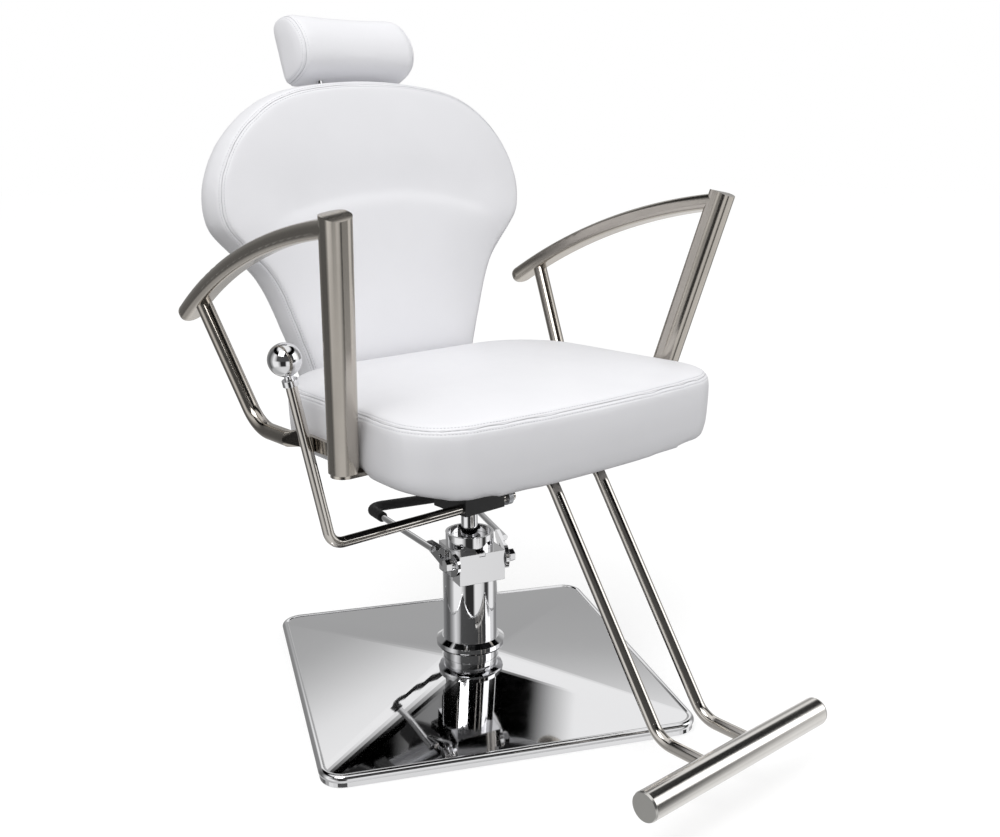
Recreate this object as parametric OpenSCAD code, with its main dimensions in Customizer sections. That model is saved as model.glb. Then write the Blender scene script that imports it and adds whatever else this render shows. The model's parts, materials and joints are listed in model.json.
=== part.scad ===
// A threading chair: hydraulic pump on a square base, swivelling and rising seat,
// reclining back with a sliding headrest, tubular arms and a fixed footrest.
// The sitter faces -Y, the column stands on the Z axis, the floor is at Z = 0.

/* [Base] */
// Side of the square base
base_side = 540; // [460:1:640]
// Corner radius of the base
base_corner_r = 34; // [20:1:60]
// Turn of the base under the seat, in degrees
base_turn = -25.2; // [-45:0.1:45]
// Radius of the rolled bead round the base
bead_r = 6; // [4:0.5:8]
// Height of the skirt under the bead's centre
skirt_h = 11; // [8:0.5:18]
// Gap between the skirt and the floor
skirt_gap = 1; // [0.5:0.5:2]
// Height of the pyramid's top above the floor
apex_h = 37; // [30:1:60]
// Thickness of the cover sheet
cover_t = 2.5; // [1.5:0.1:4]
// Thickness of the ballast plate
ballast_t = 8; // [4:1:10]
// Distance from the cover's skirt to the ballast plate
ballast_inset = 24; // [18:1:60]
// Radius of a floor pad
pad_r = 16; // [10:1:30]
// Thickness of a floor pad
pad_t = 4; // [3:0.5:8]

/* [Pump] */
// Outer radius of the column
column_r = 42; // [36:0.5:48]
// Wall of the column
column_wall = 3; // [2:0.5:5]
// Turn of the pump's head and pedal under the seat, in degrees
head_turn = -16; // [-45:0.1:45]
// Height of the head block's underside
block_z = 172; // [150:1:210]
// Width of the head block
block_w = 74; // [60:1:80]
// Distance of the block's front face from the axis
block_front = 48; // [47:1:56]
// Distance of the block's back face from the axis
block_back = 34; // [30:1:46]
// Height of the head block
block_h = 47; // [42:1:60]
// Thickness of the block's round foot on the column
block_foot_t = 5; // [3:0.5:8]
// Width of the notch in the block's front edge
block_notch_w = 10; // [6:0.5:14]
// Depth of the notch in the block's front edge
block_notch_h = 5; // [3:0.5:8]
// Radius of the cup on the block
cup_r = 37; // [32:0.5:42]
// Height of the cup
cup_h = 21; // [16:1:30]
// Wall of the cup
cup_wall = 4; // [3:0.5:8]
// Thickness of the cup's floor
cup_floor = 9; // [6:0.5:12]
// Radius of the flange at the column's foot
flange_r = 76; // [64:1:90]
// Thickness of the flange
flange_t = 7; // [5:0.5:9]
// Radius of the flange's bolt circle
flange_pitch_r = 60; // [54:1:64]
// Outer radius of the collar ring
collar_r = 53; // [48:0.5:58]
// Height of the collar's underside
collar_z = 53; // [48:1:70]
// Height of the collar's straight band
collar_band = 12; // [8:0.5:20]
// Height of the collar's sloping top
collar_slope = 6; // [3:0.5:12]
// Radius of the ram
ram_r = 12.8; // [9:0.1:13.2]
// Height of the ram's shoulder, with the seat down
ram_top = 279.5; // [262:0.5:300]
// Travel of the ram
ram_travel = 130; // [60:1:130]
// Radius of the piston on the ram
piston_r = 13.5; // [13:0.1:15]
// Height of the piston
piston_h = 22; // [16:1:30]
// Wall of the oil cylinder
oil_wall = 3.4; // [2.5:0.1:4]
// Radial clearance of every shaft in its bore
fit_gap = 0.05; // [0.02:0.01:0.1]
// Clearance between parts that pass each other
pass_gap = 0.4; // [0.3:0.1:0.8]

/* [Pedal] */
// Distance of the pedal shaft in front of the column's axis
pedal_axis_y = 36; // [35:0.5:37]
// Height of the pedal shaft
pedal_axis_z = 204; // [202:1:206]
// Rise of the pedal over its shaft
pedal_rise = 15; // [8:0.5:22]
// Radius of the pedal shaft
pedal_shaft_r = 6; // [5:0.5:7]
// Thickness of an ear plate
ear_t = 6; // [4:0.5:8]
// Radius of an ear at the shaft
ear_r = 18; // [14:0.5:20]
// Radius of an ear at its rod
ear_tip_r = 8; // [6:0.5:10]
// Length of an ear from the shaft to the rod
ear_len = 58; // [50:1:70]
// Outward turn of the ears, in degrees
ear_splay = 13.5; // [0:1:30]
// Length of the boss of an ear on the shaft
ear_boss = 9; // [7:0.5:14]
// Radius of the pedal rod
pedal_rod_r = 5; // [4:0.5:7]
// Distance of the pedal's crossbar behind the column's axis
pedal_reach = 230; // [170:1:260]
// Half the width of the pedal
pedal_half_w = 85; // [70:1:110]
// Bend radius of the pedal rod
pedal_bend = 22; // [16:1:30]
// Radius of the rubber sleeve
sleeve_r = 8.5; // [7:0.5:12]
// Straight length of the sleeve on each side rod
sleeve_side = 12; // [4:1:40]
// Length of a hex head on the pedal shaft
hex_len = 10; // [6:0.5:16]
// Size across the corners of a hex head
hex_d = 20; // [16:0.5:26]
// Length of the cam's finger from the shaft's axis
cam_reach = 13; // [12:0.5:14]
// Radius of the cam's rounded tip
cam_tip_r = 3; // [2.5:0.1:4]
// Width of the cam
cam_w = 12; // [8:0.5:14]
// Radius of the pump plunger
plunger_r = 4; // [3:0.25:4.5]
// Length of the pump plunger
plunger_len = 24; // [18:1:26]

/* [Mechanism] */
// Radius of the ram's spigot in the swivel hub
spigot_r = 9; // [7:0.25:10]
// Length of the ram's spigot
spigot_len = 30; // [20:1:40]
// Side of the square swivel hub
hub_side = 76; // [66:1:80]
// Height of the swivel hub
hub_h = 50; // [46:0.5:60]
// Thickness of the mounting plate
plate_t = 6; // [4:0.5:8]
// Length of the mounting plate
plate_len = 168; // [120:1:180]
// Distance between the frame rails' outer faces
rail_gap = 160; // [130:1:200]
// Wall of the frame rails
rail_t = 4; // [3:0.5:6]
// Width of the rails' flanges
rail_flange = 22; // [16:1:30]
// Distance of the rails' front end from the column's axis
rail_front = 86; // [80:1:120]
// Distance of the rails' back end from the column's axis
rail_back = 145; // [140:1:150]
// Radius of the lever's rod and cross shaft
lever_rod_r = 7.75; // [5:0.25:8]
// Distance of the lever's shaft in front of the column's axis
lever_axis_y = 27; // [24:0.5:29]
// Height of the lever's shaft above the hub's underside
lever_axis_h = 10; // [10:0.5:20]
// How far the lever's bend stands inside the seat's side
lever_inset = 14; // [0:1:40]
// Bend radius of the lever's rod
lever_bend = 24; // [16:1:34]
// Outward lean of the lever's rod, in degrees
lever_lean = 12.4; // [5:0.1:20]
// Length of the lever from its bend's corner to the ball
lever_len = 269; // [240:1:290]
// Radius of the ball
ball_r = 22; // [16:0.5:26]
// Length of the neck under the ball
ball_neck = 9; // [5:0.5:14]
// Length of the ferrule
ferrule_len = 8; // [5:0.5:12]
// Radius of the ferrule
ferrule_r = 10.5; // [8:0.1:12]

/* [Recline lock] */
// Distance of the lock from the column's axis, sideways
lock_x = 52; // [51:0.5:53]
// Outer radius of the lock cylinder
lock_r = 12; // [10:0.5:14]
// Length of the lock cylinder
lock_len = 84; // [70:1:90]
// Radius of the lock rod
lock_rod_r = 6; // [5:0.25:7]
// Radius of the release pin
release_r = 3; // [2.5:0.25:4]
// Height of the lock's axis, and of the release cam's tip, above the lever's shaft
release_reach = 18; // [16:0.5:20]
// Radius of the release cam's tip
release_tip_r = 4.5; // [4:0.25:6]
// Travel of the back's recline, in degrees
recline_travel = 45; // [30:1:50]
// Radius of the hinge shaft
hinge_r = 8; // [6:0.5:10]
// Distance of the hinge behind the column's axis
hinge_y = 120; // [114:1:126]
// Height of the hinge
hinge_z = 350; // [344:1:356]
// Thickness of the crank
crank_t = 8; // [6:0.5:10]
// Radius of the crank's ends
crank_r = 9; // [8:0.5:11]
// Radius of the crank pin
crank_pin_r = 4; // [3:0.25:5]
// Clearance of the crank pin in its slot
slot_gap = 0.6; // [0.5:0.1:1]

/* [Seat] */
// Height of the seat board's underside
board_z = 398; // [392:1:404]
// Thickness of the seat board
board_t = 17; // [15:0.5:18]
// Half the width of the seat at its front corners
seat_half_w = 278; // [250:1:300]
// Half the width of the seat where its back corners begin, as a share
seat_rear_share = 0.965; // [0.85:0.005:1]
// Distance of the seat's front from the column's axis
seat_front = 268; // [240:1:300]
// Bow of the seat's front edge
seat_bow = 12; // [0:1:24]
// Distance of the seat's back from the column's axis
seat_back = 155; // [140:1:158]
// Radius of the seat's front corners
seat_front_r = 78; // [50:1:110]
// Radius of the seat's back corners
seat_back_r = 128; // [60:1:140]
// Height of the seat's seam above the board's underside
seat_seam_h = 92; // [80:1:110]
// Height of the seat's crown above the seam
seat_crown = 19; // [8:1:30]
// How far the cushion's lower edge hangs below the board's top at the front
seat_skirt_front = 28; // [18:1:32]
// How far it hangs below the board's top at the sides and the back
seat_skirt_back = 11; // [6:1:14]
// Depth of the sewn seam
seam_depth = 3; // [1:0.5:5]
// Inset of the seat board from the cushion's side
seat_board_inset = 36; // [30:1:60]

/* [Backrest] */
// Lean of the back at rest, in degrees
back_lean = 8.85; // [2:0.1:12]
// Distance of the back's front seam behind the hinge, at the hinge's height
back_front = 39.9; // [36:0.1:44]
// Forward taper of the back's front against its board, in degrees
back_taper = 3.15; // [0:0.05:5]
// Height of the back's lower edge along the back, above the hinge
back_low = 94; // [84:1:110]
// Height of the back's upper edge along the back, above the hinge
back_high = 561; // [520:1:600]
// Half the width of the back at its widest
back_half_w = 281; // [260:1:290]
// Distance of the back board behind the hinge
back_cushion_rear = 88.5; // [80:0.5:96]
// Crown of the back's front
back_crown = 16; // [6:1:22]
// Depth of the soft crease across the back
crease_depth = 3; // [0:0.5:8]
// Height of the crease along the back, above the hinge
crease_v = 410; // [380:1:430]
// Width of the crease's slope
crease_w = 34; // [12:1:40]
// Thickness of the back board
back_board_t = 14; // [14:0.5:18]
// Thickness of the rear panel
rear_t = 12; // [8:0.5:16]
// Inset of the rear panel from the back's outline
rear_inset = 24; // [18:1:40]
// Inset of the back board from the back's outline
back_board_inset = 32; // [26:1:60]
// Thickness of the back bars
bar_t = 6; // [5:0.5:8]
// Width of the back bars
bar_w = 36; // [28:1:44]
// Height to which the back bars reach along the back, above the hinge
bar_high = 250; // [180:1:300]

/* [Headrest] */
// Half the width of the headrest between its stitched seams
head_half_w = 98; // [80:1:120]
// Bulge of the headrest's end caps
head_cap = 10; // [4:1:14]
// Height of the headrest
head_h = 105; // [80:1:120]
// Depth of the headrest
head_depth = 88; // [60:1:90]
// Distance of the headrest's nose behind the hinge, across the back
head_front = 32; // [28:1:40]
// Gap between the headrest's foot and the back's top
head_gap = 6; // [4:0.5:20]
// How much the headrest is waisted in the middle
head_waist = 3; // [0:0.5:6]
// Travel of the headrest
head_travel = 70; // [20:1:80]
// Radius of the headrest's posts
head_post_r = 5; // [4:0.25:5.5]
// Half the distance between the posts
head_post_x = 55; // [40:1:70]
// Wall of the posts' sockets
socket_wall = 1.6; // [1.2:0.1:1.9]
// Length of the posts' sockets
socket_len = 104; // [100:1:120]
// Length of the posts that stays in the sockets with the headrest up
head_post_bite = 26; // [20:1:30]
// Distance of the posts behind the hinge, across the back
head_post_w = 78; // [76:0.5:80]

/* [Arms] */
// How far the arm's plane stands inside the seat's side, at the floor
arm_inset = 53.6; // [45:0.2:56]
// Outward lean of the arm's plane, in degrees
arm_tilt = 9; // [6:0.1:12]
// Width of the oval arm tube
arm_w = 36; // [30:1:40]
// Thickness of the rail's oval tube
arm_t = 23; // [20:0.5:30]
// Thickness of the post's oval tube
post_t = 36; // [28:0.5:38]
// Edge radius of the rail's oval tube
arm_edge_r = 10; // [6:0.5:11]
// Edge radius of the post's oval tube
post_edge_r = 14; // [6:0.5:16]
// Wall of the oval arm tube
arm_wall = 2; // [1.5:0.1:3]
// Distance of the post's foot in front of the column's axis
post_foot_y = 104; // [80:1:110]
// Distance of the post's top in front of the column's axis
post_top_y = 186; // [170:1:200]
// Height of the post's top along the arm's plane
post_top_t = 752; // [700:1:790]
// Drop of the rail's axis at the post below the post's top
rail_drop = 14; // [12:0.5:30]
// Distance of the rail's tip behind the column's axis
rail_tip_y = 231; // [220:1:270]
// Height of the rail's tip along the arm's plane
rail_tip_t = 592; // [550:1:610]
// Rise of the rail's arc over its chord
rail_sag = 24.5; // [10:1:40]
// Radius of the round strut
strut_r = 11.5; // [10:0.5:14]
// Wall of the strut
strut_wall = 2; // [1.5:0.1:3]
// Distance of the strut's top behind the column's axis
strut_top_y = 192; // [170:1:205]
// Distance of the strut's bend behind the column's axis
strut_bend_y = 98; // [80:1:110]
// Height of the strut's lower run along the arm's plane
strut_low_t = 440; // [425:1:450]
// Bend radius of the strut
strut_bend = 50; // [34:1:60]
// Distance of the strut's flattened end behind the column's axis
strut_flat_y = 8; // [8:0.5:20]
// Thickness of the flattened end
eye_t = 5; // [4:0.5:7]
// Height of the flattened end where it meets the post
flat_h = 17; // [12:0.5:20]
// Width of the foot strap
strap_w = 34; // [28:1:40]
// Thickness of the foot strap
strap_t = 5; // [4:0.5:6]
// How far the foot strap's inner end lies inside the seat's side
strap_inset = 86; // [80:1:98]

/* [Footrest] */
// Radius of the footrest's tubes
foot_tube_r = 8.5; // [7:0.5:11]
// Wall of the footrest's tubes
foot_tube_wall = 2; // [1.5:0.1:3]
// Half the distance between the tubes
foot_tube_x = 43.5; // [36:0.5:60]
// Distance of the upper bend's corner in front of the column's axis
foot_up_y = 220; // [210:1:236]
// Distance of the lower bend's corner in front of the column's axis
foot_low_y = 428; // [400:1:450]
// Height of the footrest
foot_z = 84; // [70:1:110]
// Length of the upper run under the seat board
foot_run = 100; // [80:1:120]
// Bend radius of the tubes
foot_bend = 40; // [30:1:60]
// Radius of the foot bar
foot_bar_r = 19; // [16:0.5:26]
// Wall of the foot bar
foot_bar_wall = 2; // [1.5:0.1:3]
// Half the length of the foot bar
foot_bar_half = 167; // [140:1:200]
// Distance of the foot bar in front of the column's axis
foot_bar_y = 515; // [490:1:540]
// Thickness of the bar's end discs
foot_disc_t = 3; // [2:0.5:6]

/* [Screws] */
// Radius of a screw's shank
screw_r = 3; // [2.5:0.25:4]
// Radius of a screw's head
screw_head_r = 6.5; // [5:0.25:8]
// Height of a screw's head
screw_head_h = 3; // [2:0.25:4]
// Length of a screw in wood
screw_bite = 10; // [6:0.5:11]

/* [Hidden] */
$fn = 64;
hull_fn = 32;
over = 1;
full_turn = 360;
half_turn = 180;
quarter_turn = 90;
hair = 0.1;
soft_gap = 0.3;
band_len = 0.6;
band_rise = 0.04;
web_share = 0.995;

cover_white = "white";
chrome_tint = "gainsboro";
nickel_tint = [0.62, 0.60, 0.57];
black_tint = [0.09, 0.09, 0.10];
steel_tint = "silver";
rubber_tint = [0.06, 0.06, 0.06];
wood_tint = "burlywood";

ballast_z = pad_t;
flange_z = ballast_z + ballast_t;
bead_z = skirt_gap + skirt_h;
column_z = flange_z + flange_t;
apex_r = column_r + pass_gap + cover_t;
block_top = block_z + block_h;
oil_r = piston_r + fit_gap + oil_wall;
gland_low = block_z + (block_h + cup_h) / 2;
gland_high = block_top + cup_floor + cup_wall;
piston_z = gland_low - ram_travel - piston_h - cover_t;
cam_slot_w = cam_w + 2 * pass_gap;
cam_hub_r = cam_reach - plunger_r - pass_gap;
cam_slot_low = pedal_axis_z - cam_hub_r - pass_gap - cam_tip_r / 2;
plunger_top = pedal_axis_z - cam_tip_r - soft_gap;
plunger_y = cam_reach - pedal_axis_y;
ear_x = block_w / 2 + pass_gap;
ear_tip_x = ear_x + ear_boss - ear_t / 2 + ear_len * sin(ear_splay);
ear_tip_y = -pedal_axis_y + ear_len * cos(ear_splay);
pedal_rod_z = pedal_axis_z + pedal_rise;
hub_z = ram_top + hair;
plate_z = hub_z + hub_h;
rail_z = plate_z - rail_t;
rail_h = board_z - rail_z;
rail_x = rail_gap / 2;
lever_z = hub_z + lever_axis_h;
lock_z = lever_z + release_reach;
lock_front = release_tip_r + soft_gap + lock_r - lever_axis_y;
release_len = lock_r + lock_r;
crank_drop = hinge_z - lock_z;
crank_lean = recline_travel / 2;
crank_pin_y = hinge_y + crank_drop * tan(crank_lean);
crank_slot_mid = crank_drop * (1 + 1 / cos(crank_lean)) / 2;
crank_slot_run = crank_drop * (1 / cos(crank_lean) - 1) + slot_gap;
fork_wall = 4.5;
lock_stroke = 2 * crank_drop * tan(crank_lean);
lock_rod_start = lock_front + lock_len / 4 + lock_stroke + over;
board_top = board_z + board_t;
back_board_rear = back_cushion_rear + back_board_t;
rear_face = back_board_rear + rear_t;
socket_r = head_post_r + fit_gap + socket_wall;
socket_top = back_high - 2 * socket_r;
head_post_low = socket_top - head_travel - head_post_bite;
head_low = back_high + head_gap;
bar_in = rail_x + pass_gap;
strap_top = board_z + board_t;
arm_x = seat_half_w - arm_inset;
strap_in = seat_half_w - strap_inset;
lever_out = seat_half_w - lever_inset;
rail_post_t = post_top_t - rail_drop;
post_foot_t = strap_top / cos(arm_tilt);
post_lean = atan((post_top_y - post_foot_y) / (post_top_t - post_foot_t));
rail_front_y = -post_top_y * (rail_post_t - post_foot_t) / (post_top_t - post_foot_t)
  - post_foot_y * (post_top_t - rail_post_t) / (post_top_t - post_foot_t);
rail_chord = norm([rail_tip_y - rail_front_y, rail_tip_t - rail_post_t]);
rail_r = (pow(rail_chord / 2, 2) + pow(rail_sag, 2)) / (2 * rail_sag);
rail_angle = asin(rail_chord / 2 / rail_r);
rail_lap = asin(band_len / rail_r);
rail_chord_turn = atan2(rail_post_t - rail_tip_t, rail_tip_y - rail_front_y);
foot_top_z = board_z - foot_tube_r - hair;
rail_centre = [(rail_tip_y + rail_front_y) / 2, (rail_tip_t + rail_post_t) / 2]
  + (rail_sag - rail_r) * [sin(rail_chord_turn), cos(rail_chord_turn)];
strut_top_t = rail_centre.y + sqrt(pow(rail_r, 2) - pow(strut_top_y - rail_centre.x, 2));
flat_w = strut_r - eye_t / 2;

// Half outline of the back, from the middle of its foot to the middle of its top:
// shares of the half width, and shares of the height
back_outline_shares = [[0, 0], [0.41, 0], [0.515, 0.015], [0.55, 0.05], [0.57, 0.11],
  [0.643, 0.24], [0.693, 0.328], [0.762, 0.413], [0.87, 0.484], [0.955, 0.54], [0.993, 0.58],
  [1.003, 0.645], [0.978, 0.722], [0.89, 0.82], [0.73, 0.91], [0.555, 0.962],
  [0.35, 0.986], [0.16, 0.997], [0, 1]];
// Height of the back's shape centre as a share of its height
back_centre_share = 0.5;

// Rings of a cushion's crown, as shares of the outline's size, from the seam inward
crown_shares = [0.985, 0.95, 0.88, 0.76, 0.58, 0.36, 0.16];

function flat(lists) = [for (list = lists) for (item = list) item];
function drawn_in(point, inset, centre) =
  point - (point - centre) * inset / max(norm(point - centre), inset + hair);
function arc(centre, r, from, to, steps) =
  [for (i = [0:steps]) centre + r * [cos(from + (to - from) * i / steps),
                                     sin(from + (to - from) * i / steps)]];
function spline(a, b, c, d, u) = 0.5 * (2 * b + (c - a) * u + (2 * a - 5 * b + 4 * c - d) * u * u
                                        + (3 * b - a - 3 * c + d) * u * u * u);
function crown_rise(share) = pow(1 - pow(share, 2.6), 0.6);

// A closed solid through rings of points, each ring with a point in its middle at the ends
module loft(low, rings, high) {
  n = len(rings[0]);
  m = len(rings);
  last = 1 + m * n;
  sides = flat([for (i = [0:m - 2]) flat([for (j = [0:n - 1])
    let (a = 1 + i * n + j, b = 1 + i * n + (j + 1) % n, c = a + n, d = b + n)
    [[a, c, d], [a, d, b]]])]);
  foot = [for (j = [0:n - 1]) [0, 1 + j, 1 + (j + 1) % n]];
  top = [for (j = [0:n - 1]) [last, 1 + (m - 1) * n + (j + 1) % n, 1 + (m - 1) * n + j]];
  polyhedron(concat([low], flat(rings), [high]), concat(foot, sides, top));
}

module rounded_rect(w, h, r) {
  square([w - 2 * r, h], center = true);
  square([w, h - 2 * r], center = true);
  for (x = [-1, 1], y = [-1, 1])
    translate([x * (w / 2 - r), y * (h / 2 - r)]) circle(r);
}

// A rod along a polyline in the XY plane, bent round at its corners; a thin band
// joins each straight to its bend
module bent_rod(points, bend, r) {
  n = len(points);
  dirs = [for (i = [0:n - 2]) (points[i + 1] - points[i]) / norm(points[i + 1] - points[i])];
  turns = [for (i = [1:n - 2]) let (d = dirs[i - 1], e = dirs[i])
    atan2(d.x * e.y - d.y * e.x, d * e)];
  trims = concat([0], [for (t = turns) bend * tan(abs(t) / 2)], [0]);
  for (i = [0:n - 2]) {
    start = points[i] + dirs[i] * trims[i];
    length = norm(points[i + 1] - points[i]) - trims[i] - trims[i + 1];
    translate([start.x, start.y, 0]) rotate([0, 0, atan2(dirs[i].y, dirs[i].x)])
      rotate([0, quarter_turn, 0]) {
        cylinder(r = r, h = length);
        if (i > 0) translate([0, 0, -band_len / 2]) cylinder(r = r + band_rise, h = band_len);
        if (i < n - 2) translate([0, 0, length - band_len / 2]) cylinder(r = r + band_rise, h = band_len);
      }
  }
  for (i = [0:n - 3]) {
    side = turns[i] > 0 ? 1 : -1;
    d = dirs[i];
    begin = points[i + 1] - d * trims[i + 1];
    centre = begin + side * bend * [-d.y, d.x];
    start = atan2(begin.y - centre.y, begin.x - centre.x);
    translate([centre.x, centre.y, 0]) rotate([0, 0, min(start, start + turns[i])])
      rotate_extrude(angle = abs(turns[i])) translate([bend, 0]) circle(r);
  }
}

// Stands a drawing in the XY plane up in the YZ plane: x becomes Y, y becomes Z
module upright() rotate([quarter_turn, 0, quarter_turn]) children();

// Stands a drawing in the XY plane up in the XZ plane: y becomes Z
module facing() rotate([quarter_turn, 0, 0]) children();

module bar_x(r, from, to) translate([from, 0, 0]) rotate([0, quarter_turn, 0])
  cylinder(r = r, h = to - from);

module bar_y(r, from, to) translate([0, from, 0]) rotate([-quarter_turn, 0, 0])
  cylinder(r = r, h = to - from);

// A pan-head screw driven along +Z, with its head below Z = 0
module screw(length) {
  cylinder(r = screw_r, h = length);
  translate([0, 0, -screw_head_h]) cylinder(r1 = screw_head_r * 0.75, r2 = screw_head_r, h = screw_head_h);
}

module base_turned() rotate([0, 0, base_turn]) children();

module head_turned() rotate([0, 0, head_turn]) children();

module on_pedal_axis() translate([0, -pedal_axis_y, pedal_axis_z]) children();

module in_back() translate([0, hinge_y, hinge_z]) rotate([-back_lean, 0, 0]) children();

module left_side() children();
module right_side() mirror([1, 0, 0]) children();

module base_outline_posts(inset, low, high) {
  reach = base_side / 2 - base_corner_r;
  hull() for (x = [-1, 1], y = [-1, 1])
    translate([x * reach, y * reach, low])
      cylinder(r = base_corner_r - inset, h = high - low, $fn = hull_fn);
}

module pyramid(inset, low, shoulder, top) {
  reach = base_side / 2 - base_corner_r;
  hull() {
    for (x = [-1, 1], y = [-1, 1])
      translate([x * reach, y * reach, low])
        cylinder(r = base_corner_r - inset, h = shoulder - low, $fn = hull_fn);
    translate([0, 0, low]) cylinder(r = apex_r, h = top - low, $fn = hull_fn);
  }
}

module base_bead() {
  reach = base_side / 2 - base_corner_r;
  sweep_r = base_corner_r - bead_r;
  for (i = [0:3]) rotate([0, 0, i * quarter_turn]) {
    translate([reach, reach, bead_z]) rotate_extrude(angle = quarter_turn)
      translate([sweep_r, 0]) circle(bead_r);
    translate([reach + sweep_r, -reach, bead_z]) rotate([-quarter_turn, 0, 0])
      cylinder(r = bead_r, h = 2 * reach);
  }
}

module base_cover() color(chrome_tint) base_turned() {
  lip = bead_r / 3;
  difference() {
    union() {
      base_outline_posts(lip, skirt_gap, bead_z);
      pyramid(bead_r, bead_z - over, bead_z + bead_r - lip, apex_h);
      base_bead();
    }
    base_outline_posts(2 * bead_r, skirt_gap - over, bead_z);
    pyramid(2 * bead_r, bead_z - over, bead_z + bead_r - lip - cover_t, apex_h - cover_t);
    cylinder(r = column_r + pass_gap, h = apex_h + over);
  }
}

module bolt_circle(r, count) for (i = [0:count - 1])
  rotate([0, 0, (i + 0.5) * full_turn / count]) translate([r, 0, 0]) children();

module ballast_plate() color(steel_tint) base_turned() {
  side = base_side - 2 * ballast_inset;
  difference() {
    translate([0, 0, ballast_z]) linear_extrude(ballast_t) rounded_rect(side, side, base_corner_r / 2);
    bolt_circle(flange_pitch_r, 4) translate([0, 0, ballast_z - over])
      cylinder(r = screw_r + screw_r / 2, h = ballast_t + 2 * over);
  }
}

module floor_pads() color(rubber_tint) base_turned() {
  reach = base_side / 2 - ballast_inset - 2 * pad_r;
  for (at = [[0, 0], [-1, -1], [-1, 1], [1, -1], [1, 1]]) translate([at.x * reach, at.y * reach, 0])
    cylinder(r1 = pad_r - pad_t / 4, r2 = pad_r, h = pad_t);
}

module pump_flange() color(steel_tint) base_turned() difference() {
  translate([0, 0, flange_z]) cylinder(r = flange_r, h = flange_t);
  bolt_circle(flange_pitch_r, 4) translate([0, 0, flange_z - over])
    cylinder(r = screw_r + screw_r / 2, h = flange_t + 2 * over);
}

module flange_bolts() color(steel_tint) base_turned() bolt_circle(flange_pitch_r, 4) {
  translate([0, 0, ballast_z]) cylinder(r = screw_r + screw_r / 2 - hair, h = ballast_t + flange_t);
  translate([0, 0, column_z]) cylinder(r = 2 * screw_r, h = screw_r, $fn = 6);
}

module base_collar() color(chrome_tint) {
  inner = column_r + fit_gap;
  rotate_extrude() polygon([[inner, collar_z], [column_r + cover_t, collar_z],
    [collar_r - cover_t / 2, collar_z + cover_t], [collar_r, collar_z + 2 * cover_t],
    [collar_r, collar_z + collar_band], [column_r + cover_t, collar_z + collar_band + collar_slope],
    [inner, collar_z + collar_band + collar_slope]]);
}

module pump_column() color(chrome_tint) translate([0, 0, column_z]) difference() {
  cylinder(r = column_r, h = block_z - column_z);
  translate([0, 0, -over]) cylinder(r = column_r - column_wall, h = block_z - column_z + 2 * over);
}

module oil_cylinder() color(steel_tint) translate([0, 0, column_z]) difference() {
  cylinder(r = oil_r, h = gland_low - column_z);
  translate([0, 0, ballast_t]) cylinder(r = piston_r + fit_gap, h = gland_low);
}

module head_block() color(chrome_tint) head_turned() difference() {
  union() {
    translate([-block_w / 2, -block_front, block_z]) cube([block_w, block_front + block_back, block_h]);
    translate([0, 0, block_z]) cylinder(r = column_r, h = block_foot_t);
  }
  translate([0, 0, block_z - over]) cylinder(r = oil_r + hair, h = block_h + 2 * over);
  on_pedal_axis() bar_x(pedal_shaft_r + fit_gap, -block_w / 2 - over, block_w / 2 + over);
  translate([-cam_slot_w / 2, -pedal_axis_y - cam_hub_r - pass_gap, cam_slot_low])
    cube([cam_slot_w, cam_hub_r + pass_gap + cam_reach + plunger_r + hair, block_h]);
  translate([0, plunger_y, block_z - over]) cylinder(r = plunger_r + fit_gap, h = block_h);
  translate([-block_notch_w / 2, -block_front - over, block_top - block_notch_h])
    cube([block_notch_w, 2 * over, block_h]);
}

module head_cup() color(chrome_tint) translate([0, 0, block_top]) difference() {
  cylinder(r = cup_r, h = cup_h);
  translate([0, 0, cup_floor]) cylinder(r = cup_r - cup_wall, h = cup_h);
  translate([0, 0, -over]) cylinder(r = oil_r + hair, h = cup_h);
}

module gland_bush() color(black_tint) difference() {
  translate([0, 0, gland_low]) cylinder(r = oil_r, h = gland_high - gland_low);
  translate([0, 0, gland_low - over]) cylinder(r = ram_r + fit_gap, h = gland_high - gland_low + 2 * over);
}

shaft_half = ear_x + ear_boss;

module pedal_shaft() color(chrome_tint) head_turned() on_pedal_axis()
  bar_x(pedal_shaft_r, -shaft_half - hex_len / 2, shaft_half + hex_len / 2);

module shaft_hex_heads() color(chrome_tint) head_turned() on_pedal_axis()
  for (side = [0, 1]) mirror([side, 0, 0]) difference() {
    translate([shaft_half, 0, 0]) rotate([0, quarter_turn, 0]) {
      cylinder(r = hex_d / 2 * 0.95, h = hex_len / 6);
      cylinder(d = hex_d, h = hex_len, $fn = 6);
    }
    bar_x(pedal_shaft_r, shaft_half - over, shaft_half + hex_len / 2);
  }

module pump_cam() color(steel_tint) head_turned() on_pedal_axis() difference() {
  union() {
    bar_x(cam_hub_r, -cam_w / 2, cam_w / 2);
    translate([0, cam_reach, 0]) bar_x(cam_tip_r, -cam_w / 2, cam_w / 2);
    translate([-cam_w / 2, 0, -cam_tip_r]) cube([cam_w, cam_reach, 2 * cam_tip_r]);
  }
  bar_x(pedal_shaft_r, -cam_w, cam_w);
}

// Two discs and the web between them, whose corners lie just inside the discs' rims
module teardrop(big, small, length) {
  lean = asin((big - small) / length);
  wide = big * web_share;
  thin = small * web_share;
  circle(big);
  translate([length, 0]) circle(small);
  polygon([[wide * sin(lean), wide * cos(lean)], [wide * sin(lean), -wide * cos(lean)],
    [length + thin * sin(lean), -thin * cos(lean)], [length + thin * sin(lean), thin * cos(lean)]]);
}

ear_rise = asin(pedal_rise / ear_len);

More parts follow.
